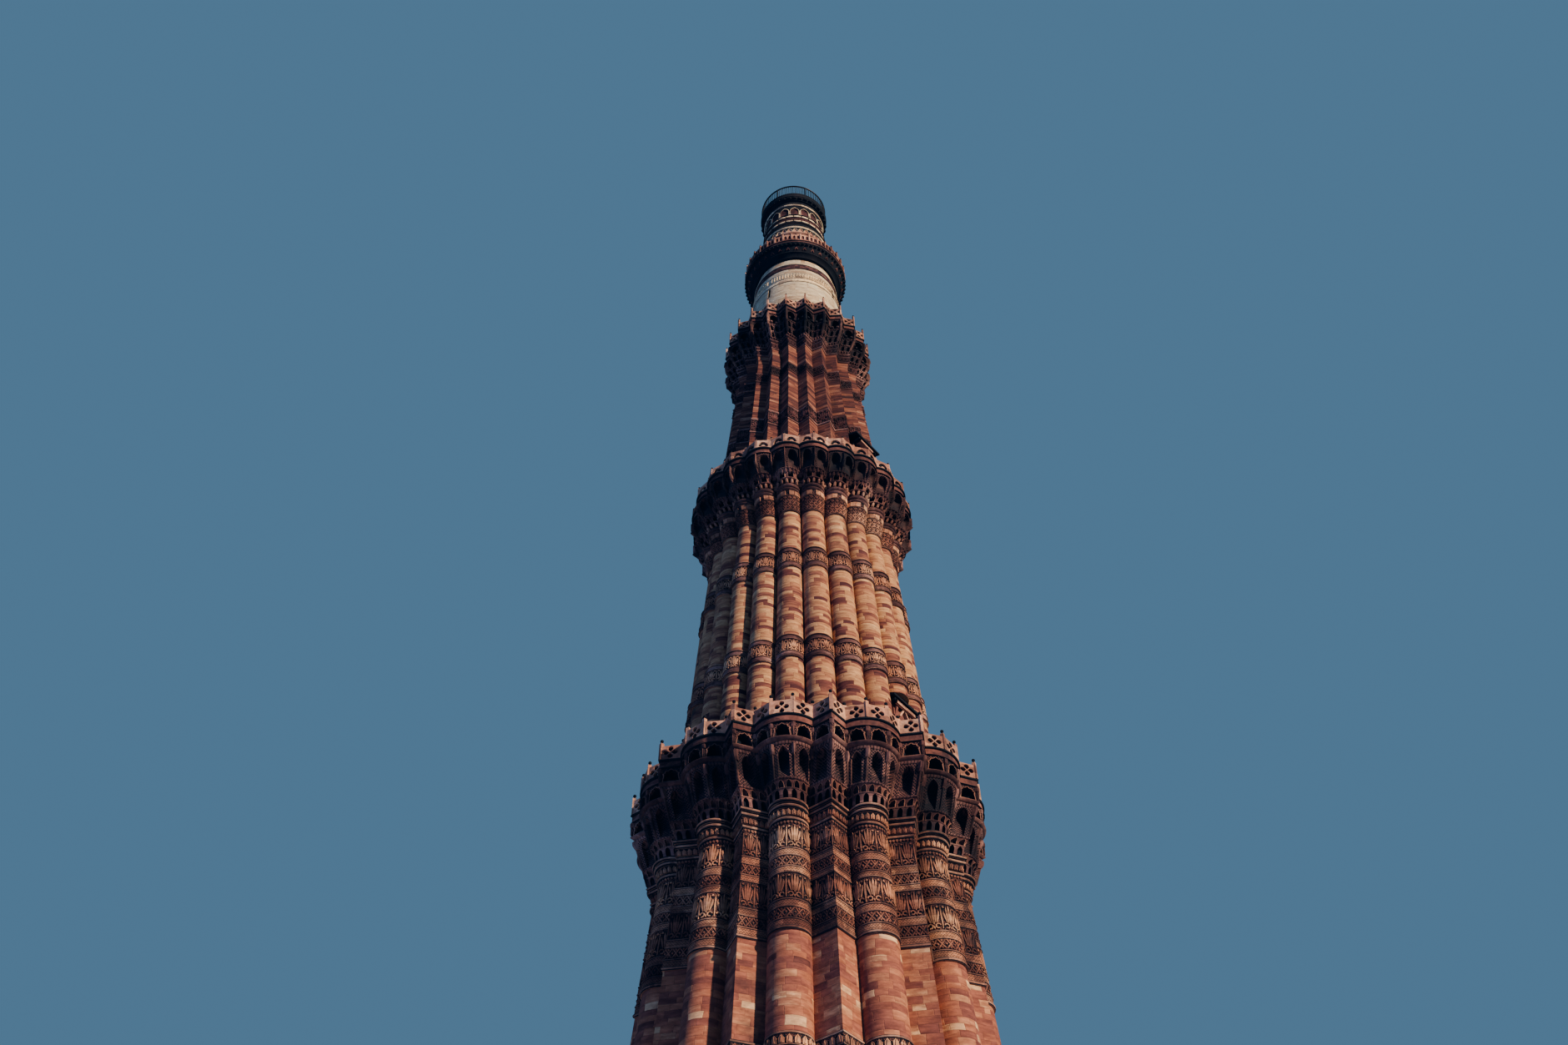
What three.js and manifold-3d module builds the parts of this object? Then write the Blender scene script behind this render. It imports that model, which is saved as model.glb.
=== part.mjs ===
// A fluted stone minaret of five tapering storeys, modelled at half its real size.
// It stands on a low 24-sided plinth. Storeys one to three are fluted sandstone, and four and five
// are round. A balcony on carved corbels rings the head of each of the lower four storeys, and an
// iron railing stands on the roof platform. Each storey is a hollow shell with a doorway on the +X
// side, and the storeys are closed off from each other by the balcony slabs, which are its floors.
//
// All sizes below are the real tower's, in metres, and MM turns them into model millimetres.
// +Z is up, with the origin at the middle of the plinth's underside. An azimuth is in degrees
// round +Z, from -Y towards +X, so that 90 is the side of the doors.

import * as THREE from 'three';
import { mergeVertices } from 'three/addons/utils/BufferGeometryUtils.js';
import Module from 'manifold-3d';

const wasm = await Module();
wasm.setup();

const MODEL_SCALE = 0.5;
const MM = 1000 * MODEL_SCALE;
const GAP = 0.3;

// Reach of the cutting shapes, past every face of the tower
const REACH = 9;
const SKY = 80;

// Flutes: 24 on each fluted storey, each one a half round or a square corner on its chord
const FLUTES = 24;
const FLUTE_HALF_SPAN = 180 / FLUTES;
const ROUND_STEPS = 5;
const ROUND_SIDES = 48;
const BORE_SIDES = 24;

const DOOR_AZIMUTH = 90;
const WALL_SEAMS = [210, 330];

const PLINTH = { radius: 7.2, sides: 24, height: 0.6 };
const STEPS = { back: 6.5, front: 7.13, width: 1.6, rise: 0.2, run: 0.315 };
const PORTAL = { back: 5.95, front: 6.45, width: 2.5, top: 4.5 };
const ENTRANCE = { width: 1.2, springing: 2.3, apex: 3.3 };

// Storeys: bore is the inner radius, and profile holds pairs of height and outer radius
const STOREY_1 = {
  bore: 2.75,
  forms: ['round', 'angular'],
  profile: [[0.6, 7.1], [21.4, 5.52], [25.97, 5.13], [26.8, 5.36]],
};
const STOREY_2 = {
  bore: 2.2,
  forms: ['round'],
  profile: [[29.55, 4.675], [33.8, 4.4], [38.5, 4.11], [41.9, 3.87], [43.2, 4.18]],
  door: { width: 0.72, head: 31.75 },
};
const STOREY_3 = {
  bore: 1.9,
  forms: ['angular'],
  profile: [[45.15, 3.75], [50.3, 3.34], [54.3, 3.0], [55.42, 3.17]],
  door: { width: 0.58, head: 47.25 },
};
const STOREY_4 = {
  bore: 1.4,
  profile: [[57.43, 2.62], [62.5, 2.22], [64.16, 2.09]],
  door: { width: 0.7, head: 59.4 },
};
const STOREY_5 = {
  bore: 1.0,
  profile: [[65.2, 1.92], [69.5, 1.68], [70.5, 1.61], [70.97, 1.68], [71.4, 1.75]],
  door: { width: 0.6, head: 67.0 },
};

// Slit windows through the wall of storey four
const SLIT_WIDTH = 0.14;
const SLITS = [
  { azimuth: 2.1, sill: 60.75, head: 61.63 },
  { azimuth: 96.3, sill: 61.75, head: 62.55 },
  { azimuth: 182.1, sill: 60.75, head: 61.63 },
  { azimuth: 276.3, sill: 61.75, head: 62.55 },
];

// Balconies: cusp and tips are radii of the edge, and tiers pair a height with the share of the
// way that the corbels have spread from the flutes below to that edge
const BALCONY_1 = {
  halfSpans: { round: 9.7, angular: 5.3 },
  cusp: 5.6,
  tips: { round: 5.98, angular: 6.09 },
  tiers: [[26.8, 0], [27.25, 0.15], [27.35, 0.3], [28.61, 0.8], [28.7, 0.93], [29.25, 0.96]],
  floor: 29.55,
  rail: 30.11,
  thickness: 0.15,
  seams: [15, 195],
};
const BALCONY_2 = {
  halfSpans: { round: 7.5 },
  cusp: 4.49,
  tips: { round: 4.69 },
  tiers: [[43.2, 0], [43.75, 0.4], [43.85, 0.55], [44.29, 0.93], [44.85, 0.97]],
  floor: 45.15,
  rail: 45.62,
  thickness: 0.13,
  seams: [7.5, 187.5],
};
const BALCONY_3 = {
  halfSpans: { angular: 7.5 },
  cusp: 3.25,
  tips: { angular: 3.56 },
  tiers: [[55.42, 0], [56.26, 0.8], [57.13, 0.97]],
  floor: 57.43,
  rail: 58.05,
  thickness: 0.12,
  seams: [0, 180],
};
const BALCONY_4 = { underside: 64.16, edge: 64.94, floor: 65.2, rail: 65.6, radius: 2.75, thickness: 0.12 };

const DOOR_CASE_2 = {
  face: 3.9,
  front: 4.2,
  width: 1.02,
  lintelTop: 32.0,
  hood: { front: 4.48, width: 1.6, edge: 32.55, rise: 0.25, thickness: 0.12 },
};
const DOOR_CASE_3 = {
  face: 3.06,
  front: 3.36,
  width: 0.8,
  lintelTop: 47.5,
  hood: { front: 3.8, width: 1.66, edge: 47.95, rise: 0.28, thickness: 0.12 },
};
const BRACKET = { width: 0.1, drop: 0.4, inset: 0.12 };

const PLATFORM = { profile: [[71.4, 1.75], [71.75, 1.88], [71.96, 1.9]] };
const RAILING = { radius: 1.83, bar: 0.045, posts: 7, firstPost: 8.5, sides: 28, low: 0.1, height: 0.98 };

const finish = (color, roughness, metalness = 0) => (
  new THREE.MeshStandardMaterial({ color, roughness, metalness })
);
const SANDSTONE = finish(0xb5754f, 0.9);
const CARVED_STONE = finish(0x7a4a36, 0.92);
const BUFF_STONE = finish(0xc79468, 0.88);
const MARBLE = finish(0xdcc9ac, 0.6);
const IRON = finish(0x23262b, 0.55, 0.8);

const radians = THREE.MathUtils.degToRad;

// A plan point that lies out from the axis and along, towards higher azimuths
function planPoint(azimuth, out, along = 0) {
  const angle = radians(azimuth);
  return new THREE.Vector2(
    out * Math.sin(angle) + along * Math.cos(angle),
    along * Math.sin(angle) - out * Math.cos(angle),
  );
}

// One bay of an outline, from its first cusp up to but not including its last
function bayPoints(bay, cusp, tip) {
  const half = cusp * Math.sin(radians(bay.halfSpan));
  const chord = cusp * Math.cos(radians(bay.halfSpan));
  if (bay.form === 'angular') {
    return [planPoint(bay.azimuth, chord, -half), planPoint(bay.azimuth, tip)];
  }
  const rise = tip - chord;
  const arcRadius = (half * half + rise * rise) / (2 * rise);
  const sweep = 2 * Math.asin(Math.min(1, half / arcRadius));
  const points = [];
  for (let step = 0; step < ROUND_STEPS; step += 1) {
    const angle = sweep * (step / ROUND_STEPS - 0.5);
    const out = tip - arcRadius + arcRadius * Math.cos(angle);
    points.push(planPoint(bay.azimuth, out, arcRadius * Math.sin(angle)));
  }
  return points;
}

function bays(forms, halfSpans) {
  const list = [];
  for (let index = 0; index < FLUTES; index += 1) {
    const form = forms[index % forms.length];
    list.push({ azimuth: index * 2 * FLUTE_HALF_SPAN, form, halfSpan: halfSpans[form] });
  }
  return list;
}

function edgeOutline(forms, halfSpans, cusp, tips) {
  return bays(forms, halfSpans).flatMap((bay) => bayPoints(bay, cusp, tips[bay.form]));
}

function fluteOutline(forms, tip) {
  const angle = radians(FLUTE_HALF_SPAN);
  const valley = tip / (Math.cos(angle) + Math.sin(angle));
  const halfSpans = { round: FLUTE_HALF_SPAN, angular: FLUTE_HALF_SPAN };
  return edgeOutline(forms, halfSpans, valley, { round: tip, angular: tip });
}

function roundOutline(radius, sides = ROUND_SIDES) {
  const points = [];
  for (let side = 0; side < sides; side += 1) {
    points.push(planPoint((side + 0.5) * (360 / sides), radius));
  }
  return points;
}

function blend(from, to, share) {
  return from.map((point, index) => point.clone().lerp(to[index], share));
}

// A closed three.js geometry as a solid for joining and cutting
function solidFrom(geometry) {
  const plain = new THREE.BufferGeometry();
  plain.setAttribute('position', geometry.getAttribute('position'));
  plain.setIndex(geometry.getIndex());
  const merged = mergeVertices(plain);
  const index = merged.getIndex().array;
  const triangles = [];
  for (let corner = 0; corner < index.length; corner += 3) {
    const [a, b, c] = index.slice(corner, corner + 3);
    if (a !== b && b !== c && c !== a) {
      triangles.push(a, b, c);
    }
  }
  return new wasm.Manifold(new wasm.Mesh({
    numProp: 3,
    vertProperties: new Float32Array(merged.getAttribute('position').array),
    triVerts: new Uint32Array(triangles),
  }));
}

function capTriangles(points) {
  return THREE.ShapeUtils.triangulateShape(points, []).map(([a, b, c]) => {
    const ab = points[b].clone().sub(points[a]);
    const ac = points[c].clone().sub(points[a]);
    return ab.cross(ac) > 0 ? [a, b, c] : [a, c, b];
  });
}

// A solid through plan outlines at rising heights, a hair short of the piece that it carries
function loft(sections) {
  const count = sections[0].points.length;
  const positions = [];
  sections.forEach(({ height, points }, level) => {
    const lowered = level === sections.length - 1 ? GAP : 0;
    points.forEach(({ x, y }) => positions.push(x * MM, y * MM, height * MM - lowered));
  });
  const faces = [];
  const top = (sections.length - 1) * count;
  for (const [a, b, c] of capTriangles(sections[0].points)) {
    faces.push(a, c, b);
  }
  for (const [a, b, c] of capTriangles(sections.at(-1).points)) {
    faces.push(top + a, top + b, top + c);
  }
  for (let level = 0; level < sections.length - 1; level += 1) {
    for (let index = 0; index < count; index += 1) {
      const a = level * count + index;
      const b = level * count + ((index + 1) % count);
      faces.push(a, b, b + count, a, b + count, a + count);
    }
  }
  const geometry = new THREE.BufferGeometry();
  geometry.setAttribute('position', new THREE.Float32BufferAttribute(positions, 3));
  geometry.setIndex(faces);
  return solidFrom(geometry);
}

function prism(points, low, high) {
  return loft([{ height: low, points }, { height: high, points }]);
}

// An upright face outline, in metres out along Y and up along Z, extruded along X
function slabAcross(points, back, front) {
  const shape = new THREE.Shape(points.map(([y, z]) => new THREE.Vector2(y * MM, z * MM)));
  const geometry = new THREE.ExtrudeGeometry(shape, { depth: (front - back) * MM, bevelEnabled: false });
  geometry.rotateX(Math.PI / 2);
  geometry.rotateZ(Math.PI / 2);
  geometry.translate(back * MM, 0, 0);
  return solidFrom(geometry);
}

// A side profile, in metres out along X and up along Z, extruded across Y
function slabAlong(points, width, middle = 0) {
  const shape = new THREE.Shape(points.map(([x, z]) => new THREE.Vector2(x * MM, z * MM)));
  const geometry = new THREE.ExtrudeGeometry(shape, { depth: width * MM, bevelEnabled: false });
  geometry.rotateX(Math.PI / 2);
  geometry.translate(0, (middle + width / 2) * MM, 0);
  return solidFrom(geometry);
}

function block(x0, x1, width, z0, z1, middle = 0) {
  return slabAlong([[x0, z0], [x1, z0], [x1, z1], [x0, z1]], width, middle);
}

// A box that runs out from the axis along an azimuth
function strip(azimuth, width, low, high, margin = 0) {
  const geometry = new THREE.BoxGeometry(REACH * MM, width * MM + margin, (high - low) * MM);
  geometry.translate(REACH * MM / 2, 0, (low + high) / 2 * MM);
  geometry.rotateZ(radians(azimuth - 90));
  return solidFrom(geometry);
}

// The part of the plan between two azimuths, for the whole height
function sector(from, to) {
  const points = [new THREE.Vector2(0, 0)];
  const parts = Math.ceil((to - from) / 45);
  for (let part = 0; part <= parts; part += 1) {
    points.push(planPoint(from + (to - from) * (part / parts), 2 * REACH));
  }
  return prism(points, -1, SKY);
}

function addPiece(group, name, solid, material) {
  const mesh = solid.getMesh();
  const geometry = new THREE.BufferGeometry();
  geometry.setAttribute('position', new THREE.Float32BufferAttribute(mesh.vertProperties, 3));
  geometry.setIndex(Array.from(mesh.triVerts));
  geometry.translate(0, 0, -group.position.z);
  const piece = new THREE.Mesh(geometry, material.clone());
  piece.name = name;
  group.add(piece);
}

// A storey's group stands at its floor
function storeyGroup(floor) {
  const group = new THREE.Group();
  group.position.z = floor * MM;
  return group;
}

function storeyOutside(storey, grow = 0) {
  return loft(storey.profile.map(([height, radius]) => ({
    height,
    points: storey.forms ? fluteOutline(storey.forms, radius + grow) : roundOutline(radius + grow),
  })));
}

// A round shaft for cutting a bore, from below its room to above it
function bore(radius, low, high) {
  return prism(roundOutline(radius, BORE_SIDES), low - 1, high + 1);
}

// The shell of a storey as three walls and the wall over its door
function addWalls(group, prefix, shell, door, material) {
  const doorStrip = strip(DOOR_AZIMUTH, door.width, -1, SKY);
  const overDoor = strip(DOOR_AZIMUTH, door.width, door.head, SKY, -2 * GAP);
  let walls = shell.subtract(doorStrip);
  for (const seam of WALL_SEAMS) {
    walls = walls.subtract(strip(seam, 0, -1, SKY, GAP));
  }
  const [rightEnd, leftStart] = WALL_SEAMS;
  addPiece(group, `${prefix}_wall_right`, walls.intersect(sector(DOOR_AZIMUTH, rightEnd)), material);
  addPiece(group, `${prefix}_wall_back`, walls.intersect(sector(rightEnd, leftStart)), material);
  addPiece(group, `${prefix}_wall_left`, walls.intersect(sector(leftStart, DOOR_AZIMUTH + 360)), material);
  const lintel = door.arch ? overDoor.subtract(door.arch) : overDoor;
  addPiece(group, `${prefix}_wall_over_door`, shell.intersect(lintel), material);
}

function pointedArch(width, low, springing, apex) {
  const half = width / 2;
  const haunch = springing + (apex - springing) * 0.7;
  return [
    [-half, low], [half, low], [half, springing], [half * 0.62, haunch],
    [0, apex], [-half * 0.62, haunch], [-half, springing],
  ];
}

function addPlinth(tower) {
  const disc = prism(roundOutline(PLINTH.radius, PLINTH.sides), 0, PLINTH.height);
  const notch = block(STEPS.back, REACH, STEPS.width, -1, PLINTH.height + 1);
  addPiece(tower, 'plinth', disc.subtract(notch), BUFF_STONE);
  const back = STEPS.back + GAP / MM;
  const tread = back + STEPS.run;
  const profile = [
    [back, 0], [STEPS.front, 0], [STEPS.front, STEPS.rise],
    [tread, STEPS.rise], [tread, 2 * STEPS.rise], [back, 2 * STEPS.rise],
  ];
  addPiece(tower, 'entrance_steps', slabAlong(profile, STEPS.width - 2 * GAP / MM), BUFF_STONE);
}

function addStorey1(tower) {
  const [base] = STOREY_1.profile[0];
  const group = storeyGroup(base);
  const { width, springing, apex } = ENTRANCE;
  const arch = slabAcross(pointedArch(width, 0, springing, apex), 0, REACH);
  const half = PORTAL.width / 2;
  const frame = [[-half, base], [half, base], [half, PORTAL.top], [-half, PORTAL.top]];
  const margin = GAP / MM;
  const niche = block(PORTAL.back - margin, REACH, PORTAL.width + 2 * margin, 0, PORTAL.top + margin);
  const shell = storeyOutside(STOREY_1)
    .subtract(bore(STOREY_1.bore, base, BALCONY_1.floor))
    .subtract(niche);
  addWalls(group, 'storey_1', shell, { width, head: springing, arch }, SANDSTONE);
  const portal = slabAcross(frame, PORTAL.back, PORTAL.front).subtract(arch);
  addPiece(group, 'entrance_portal', portal, MARBLE);
  tower.add(group);
}

// Door frame, brackets and sloping hood as one piece, trimmed to the flutes on either side
function doorCase(storey, size) {
  const [floor] = storey.profile[0];
  const { door } = storey;
  const { hood } = size;
  const back = size.face + GAP / MM;
  const frame = block(back, size.front, size.width, floor, size.lintelTop)
    .subtract(block(0, REACH, door.width, 0, door.head));
  const hoodTop = hood.edge + hood.rise;
  const slope = [
    [back, hoodTop], [back, hoodTop + hood.thickness],
    [hood.front, hood.edge + hood.thickness], [hood.front, hood.edge],
  ];
  let solid = slabAlong(slope.toReversed(), hood.width).add(frame);
  const arm = (size.front + hood.front) / 2;
  const bracketProfile = [
    [back, size.lintelTop - BRACKET.drop / 2], [size.front, size.lintelTop - BRACKET.drop / 2],
    [arm, hood.edge + hood.thickness / 2], [back, hoodTop + hood.thickness / 2],
  ];
  for (const side of [-1, 1]) {
    const middle = side * (size.width / 2 - BRACKET.inset);
    solid = solid.add(slabAlong(bracketProfile, BRACKET.width, middle));
  }
  const grown = storeyOutside(storey, GAP / MM);
  const recess = block(size.face, REACH, size.width, floor - 1, hoodTop + 2 * hood.thickness);
  return solid.subtract(grown.subtract(recess));
}

function addFlutedStorey(tower, prefix, storey, caseSize, ceiling) {
  const [floor] = storey.profile[0];
  const group = storeyGroup(floor);
  const { hood } = caseSize;
  const margin = GAP / MM;
  const recessTop = hood.edge + hood.rise + 2 * hood.thickness;
  const recess = block(caseSize.face, REACH, caseSize.width + 2 * margin, floor - 1, recessTop);
  const shell = storeyOutside(storey)
    .subtract(bore(storey.bore, floor, ceiling))
    .subtract(recess);
  addWalls(group, prefix, shell, storey.door, SANDSTONE);
  addPiece(group, `${prefix}_door_case`, doorCase(storey, caseSize), BUFF_STONE);
  tower.add(group);
}

// Corbel ring, floor slab and parapet of a balcony over a fluted storey
function addFlutedBalcony(tower, prefix, balcony, storey) {
  const group = storeyGroup(balcony.floor);
  const { halfSpans, cusp, tips, thickness } = balcony;
  const [, headRadius] = storey.profile.at(-1);
  const flutes = fluteOutline(storey.forms, headRadius);
  const edge = edgeOutline(storey.forms, halfSpans, cusp, tips);
  const corbels = loft(balcony.tiers.map(([height, share]) => ({
    height,
    points: blend(flutes, edge, share),
  })));
  const [slabBase] = balcony.tiers.at(-1);
  const shaft = bore(storey.bore, balcony.tiers[0][0], slabBase);
  addPiece(group, `${prefix}_corbels`, corbels.subtract(shaft), CARVED_STONE);
  addPiece(group, `${prefix}_floor`, prism(edge, slabBase, balcony.floor), SANDSTONE);

  const inner = edge.map((point) => point.clone().setLength(point.length() - thickness));
  let parapet = prism(edge, balcony.floor, balcony.rail)
    .subtract(prism(inner, balcony.floor - 1, balcony.rail + 1));
  for (const seam of balcony.seams) {
    parapet = parapet.subtract(strip(seam, 0, -1, SKY, GAP));
  }
  const [start, middle] = balcony.seams;
  addPiece(group, `${prefix}_parapet_right`, parapet.intersect(sector(start, middle)), SANDSTONE);
  addPiece(group, `${prefix}_parapet_left`, parapet.intersect(sector(middle, start + 360)), SANDSTONE);
  tower.add(group);
}

function addStorey4(tower) {
  const [floor] = STOREY_4.profile[0];
  const group = storeyGroup(floor);
  let shell = storeyOutside(STOREY_4).subtract(bore(STOREY_4.bore, floor, BALCONY_4.floor));
  for (const { azimuth, sill, head } of SLITS) {
    shell = shell.subtract(strip(azimuth, SLIT_WIDTH, sill, head));
  }
  addWalls(group, 'storey_4', shell, STOREY_4.door, MARBLE);
  tower.add(group);
}

function addBalcony4(tower) {
  const { underside, edge, floor, rail, radius, thickness } = BALCONY_4;
  const group = storeyGroup(floor);
  const [, wallRadius] = STOREY_4.profile.at(-1);
  const corbels = loft([
    { height: underside, points: roundOutline(wallRadius) },
    { height: edge, points: roundOutline(radius - thickness / 4) },
  ]);
  const outline = roundOutline(radius);
  const parapet = prism(outline, floor, rail)
    .subtract(prism(roundOutline(radius - thickness), floor - 1, rail + 1));
  addPiece(group, 'balcony_4_corbels', corbels.subtract(bore(STOREY_4.bore, underside, edge)), CARVED_STONE);
  addPiece(group, 'balcony_4_floor', prism(outline, edge, floor), CARVED_STONE);
  const [start, middle] = BALCONY_3.seams;
  const split = parapet
    .subtract(strip(start, 0, -1, SKY, GAP))
    .subtract(strip(middle, 0, -1, SKY, GAP));
  addPiece(group, 'balcony_4_parapet_right', split.intersect(sector(start, middle)), BUFF_STONE);
  addPiece(group, 'balcony_4_parapet_left', split.intersect(sector(middle, start + 360)), BUFF_STONE);
  tower.add(group);
}

function addStorey5(tower) {
  const [floor] = STOREY_5.profile[0];
  const [platformBase] = PLATFORM.profile[0];
  const group = storeyGroup(floor);
  const shell = storeyOutside(STOREY_5).subtract(bore(STOREY_5.bore, floor, platformBase));
  addWalls(group, 'storey_5', shell, STOREY_5.door, BUFF_STONE);
  tower.add(group);
}

// A square rail bent into a ring, as a profile turned about the axis
function railRing(height) {
  const inner = (RAILING.radius - RAILING.bar / 2) * MM;
  const outer = (RAILING.radius + RAILING.bar / 2) * MM;
  const low = (height - RAILING.bar) * MM;
  const profile = [[inner, low], [outer, low], [outer, height * MM], [inner, height * MM], [inner, low]];
  const points = profile.map(([x, y]) => new THREE.Vector2(x, y));
  const geometry = new THREE.LatheGeometry(points, RAILING.sides);
  geometry.rotateX(Math.PI / 2);
  return solidFrom(geometry);
}

function addRoof(tower) {
  const [top] = PLATFORM.profile.at(-1);
  const group = storeyGroup(top);
  const platform = loft(PLATFORM.profile.map(([height, radius]) => ({
    height,
    points: roundOutline(radius),
  })));
  addPiece(group, 'roof_platform', platform, CARVED_STONE);

  let railing = railRing(top + RAILING.low).add(railRing(top + RAILING.height));
  for (let post = 0; post < RAILING.posts; post += 1) {
    const azimuth = RAILING.firstPost + post * (360 / RAILING.posts);
    const upright = new THREE.BoxGeometry(RAILING.bar * MM, RAILING.bar * MM, RAILING.height * MM);
    const { x, y } = planPoint(azimuth, RAILING.radius * MM);
    upright.rotateZ(radians(azimuth));
    upright.translate(x, y, (top + RAILING.height / 2) * MM);
    railing = railing.add(solidFrom(upright));
  }
  addPiece(group, 'roof_railing', railing, IRON);
  tower.add(group);
}

const minaret = new THREE.Group();
minaret.name = 'minaret';
addPlinth(minaret);
addStorey1(minaret);
addFlutedBalcony(minaret, 'balcony_1', BALCONY_1, STOREY_1);
addFlutedStorey(minaret, 'storey_2', STOREY_2, DOOR_CASE_2, BALCONY_2.floor);
addFlutedBalcony(minaret, 'balcony_2', BALCONY_2, STOREY_2);
addFlutedStorey(minaret, 'storey_3', STOREY_3, DOOR_CASE_3, BALCONY_3.floor);
addFlutedBalcony(minaret, 'balcony_3', BALCONY_3, STOREY_3);
addStorey4(minaret);
addBalcony4(minaret);
addStorey5(minaret);
addRoof(minaret);

export default minaret;
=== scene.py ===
"""Looks for the fluted minaret, built round its packed CAD frame.

Sizes are the real tower's, in metres, as in the part's source, and SCALE turns them into the
model's. An azimuth is in degrees round +Z, from -Y towards +X, so that 90 is the side of the doors.

Most pieces are skins: a profile of rings, wrapped round the bays of a storey or a balcony. A bay
is one flute, or one scallop of a balcony's edge, and share runs from 0 to 1 across it. A ring is a
height, how proud of the surface it stands, or None for the bore, and the kind of stone above it.
Carved bands are sleeves over the walls, and the balconies hang on tiers of carved niches.
"""

import math
from collections import namedtuple

import bpy
import numpy as np
from mathutils import Matrix, Vector
from mathutils.geometry import tessellate_polygon


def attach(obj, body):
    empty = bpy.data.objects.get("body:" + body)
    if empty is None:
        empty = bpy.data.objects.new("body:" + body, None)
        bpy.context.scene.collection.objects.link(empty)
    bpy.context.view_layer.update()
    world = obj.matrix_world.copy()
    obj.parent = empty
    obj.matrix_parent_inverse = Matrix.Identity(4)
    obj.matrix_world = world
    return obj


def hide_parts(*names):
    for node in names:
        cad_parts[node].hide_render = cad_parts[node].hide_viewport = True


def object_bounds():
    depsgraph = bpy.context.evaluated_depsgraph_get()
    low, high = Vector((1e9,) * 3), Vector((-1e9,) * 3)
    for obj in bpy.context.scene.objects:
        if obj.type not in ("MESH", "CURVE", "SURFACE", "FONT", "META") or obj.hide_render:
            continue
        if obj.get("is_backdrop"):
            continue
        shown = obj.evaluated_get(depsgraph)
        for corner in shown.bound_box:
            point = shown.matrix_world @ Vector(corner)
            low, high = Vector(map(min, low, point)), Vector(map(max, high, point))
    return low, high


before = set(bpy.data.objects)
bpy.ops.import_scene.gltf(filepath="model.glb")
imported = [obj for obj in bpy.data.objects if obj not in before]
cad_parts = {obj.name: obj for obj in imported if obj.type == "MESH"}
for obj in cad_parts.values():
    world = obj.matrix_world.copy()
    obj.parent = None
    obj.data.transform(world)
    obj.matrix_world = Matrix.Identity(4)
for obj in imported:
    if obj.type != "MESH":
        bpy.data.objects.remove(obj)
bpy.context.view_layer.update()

SCALE = 0.5
FLUTES = 24
DOOR_AZIMUTH = 90

# Openings are cut out to this radius, past all walls
REACH = 9.0

# The walls of a storey meet on these flutes, counted from azimuth 0
WALL_SEAMS = {"right": (6, 14), "back": (14, 22), "left": (22, 30)}

# Forms of bay, with the steps across them: two kinds of flute, a part of a plain drum, and one
# flat side of the plinth
FINE = {"round": 14, "angular": 4, "drum": 6, "flat": 2}

# A bay's map starts this far on from its neighbour's
BAY_SHIFT = 7.0

# Storeys: pairs of height and outer radius, the bore, and the door's width and head
STOREY_1 = {"bore": 2.75, "profile": ((0.6, 7.1), (21.4, 5.52), (25.97, 5.13), (26.8, 5.3))}
STOREY_2 = {
    "bore": 2.2, "door": (0.72, 31.75),
    "profile": ((29.55, 4.675), (33.8, 4.4), (38.5, 4.11), (41.9, 3.87), (43.2, 4.1)),
}
STOREY_3 = {
    "bore": 1.9, "door": (0.58, 47.25),
    "profile": ((45.15, 3.75), (50.3, 3.34), (54.3, 3.0), (55.42, 3.12)),
}
STOREY_4 = {
    "bore": 1.4, "door": (0.7, 59.4), "profile": ((57.43, 2.62), (62.5, 2.22), (64.16, 2.09)),
}
STOREY_5 = {
    "bore": 1.0, "door": (0.6, 67.0),
    "profile": ((65.2, 1.88), (69.5, 1.64), (70.5, 1.57), (71.4, 1.6)),
}
# Slit windows of the fourth storey: azimuth, sill and head. Ornament keeps clear of them
SLIT_WIDTH = 0.14
SLIT_MARGIN = 3.5
SLITS = ((2.1, 60.75, 61.63), (96.3, 61.75, 62.55), (182.1, 60.75, 61.63), (276.3, 61.75, 62.55))

PLINTH_SIDE = 7.138
PLINTH_TOP = 0.6
STEPS = {"back": 6.5, "front": 7.13, "width": 1.6, "rise": 0.2, "run": 0.315}
PORTAL = {"back": 5.95, "front": 6.45, "width": 2.5, "top": 4.5}
ENTRANCE = {"width": 1.2, "springing": 2.3, "apex": 3.3}

# Door cases. Their hood has a front, a width, and the heights of its edge and of its back
DOOR_CASE_2 = {
    "face": 3.9, "front": 4.2, "width": 1.02, "lintel": 32.0, "top": 33.04,
    "hood": (4.48, 1.6, 32.55, 32.8),
}
DOOR_CASE_3 = {
    "face": 3.06, "front": 3.36, "width": 0.8, "lintel": 47.5, "top": 48.47,
    "hood": (3.8, 1.66, 47.95, 48.23),
}

RAIL = {"radius": 1.83, "base": 71.96, "top": 72.94, "posts": 7, "bars": 14, "first_post": 8.5}

# Carved courses: height, kind, how proud of the wall, and bulge. Thin near-black courses beside
# the rolls are painted shade in the grooves
ROLL = (0.06, "plain", 0.05, 0.02)
STRIP = (0.19, "strip", 0.045, 0)
LATTICE = (0.34, "lattice", 0.03, 0)
SCROLLS = (0.89, "scroll", 0.03, 0)
ZONE_1 = (
    (0.12, "plain", 0.05, 0.03), (0.20, "strip", 0.04, 0), ROLL, LATTICE, ROLL, STRIP, ROLL,
    SCROLLS, ROLL, (0.16, "strip", 0.045, 0), ROLL, LATTICE, ROLL, STRIP, ROLL, SCROLLS,
)
CAPITAL_1 = (
    (0.10, "dots", 0.04, 0), (0.13, "plain", 0.04, 0.06), (0.04, "soot", 0.0, 0),
    (0.20, "petals", 0.05, 0), (0.04, "soot", 0.02, 0), (0.13, "plain", 0.06, 0.06),
    (0.04, "soot", 0.03, 0), (0.12, "plain", 0.09, 0.06), (0.03, "soot", 0.06, 0),
)
BAND_1 = (
    (0.10, "plain", 0.05, 0.03), (0.25, "strip", 0.04, 0), ROLL, (0.76, "scroll", 0.03, 0), ROLL,
    (0.27, "petals", 0.04, 0), (0.10, "plain", 0.05, 0.03),
)
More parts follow.
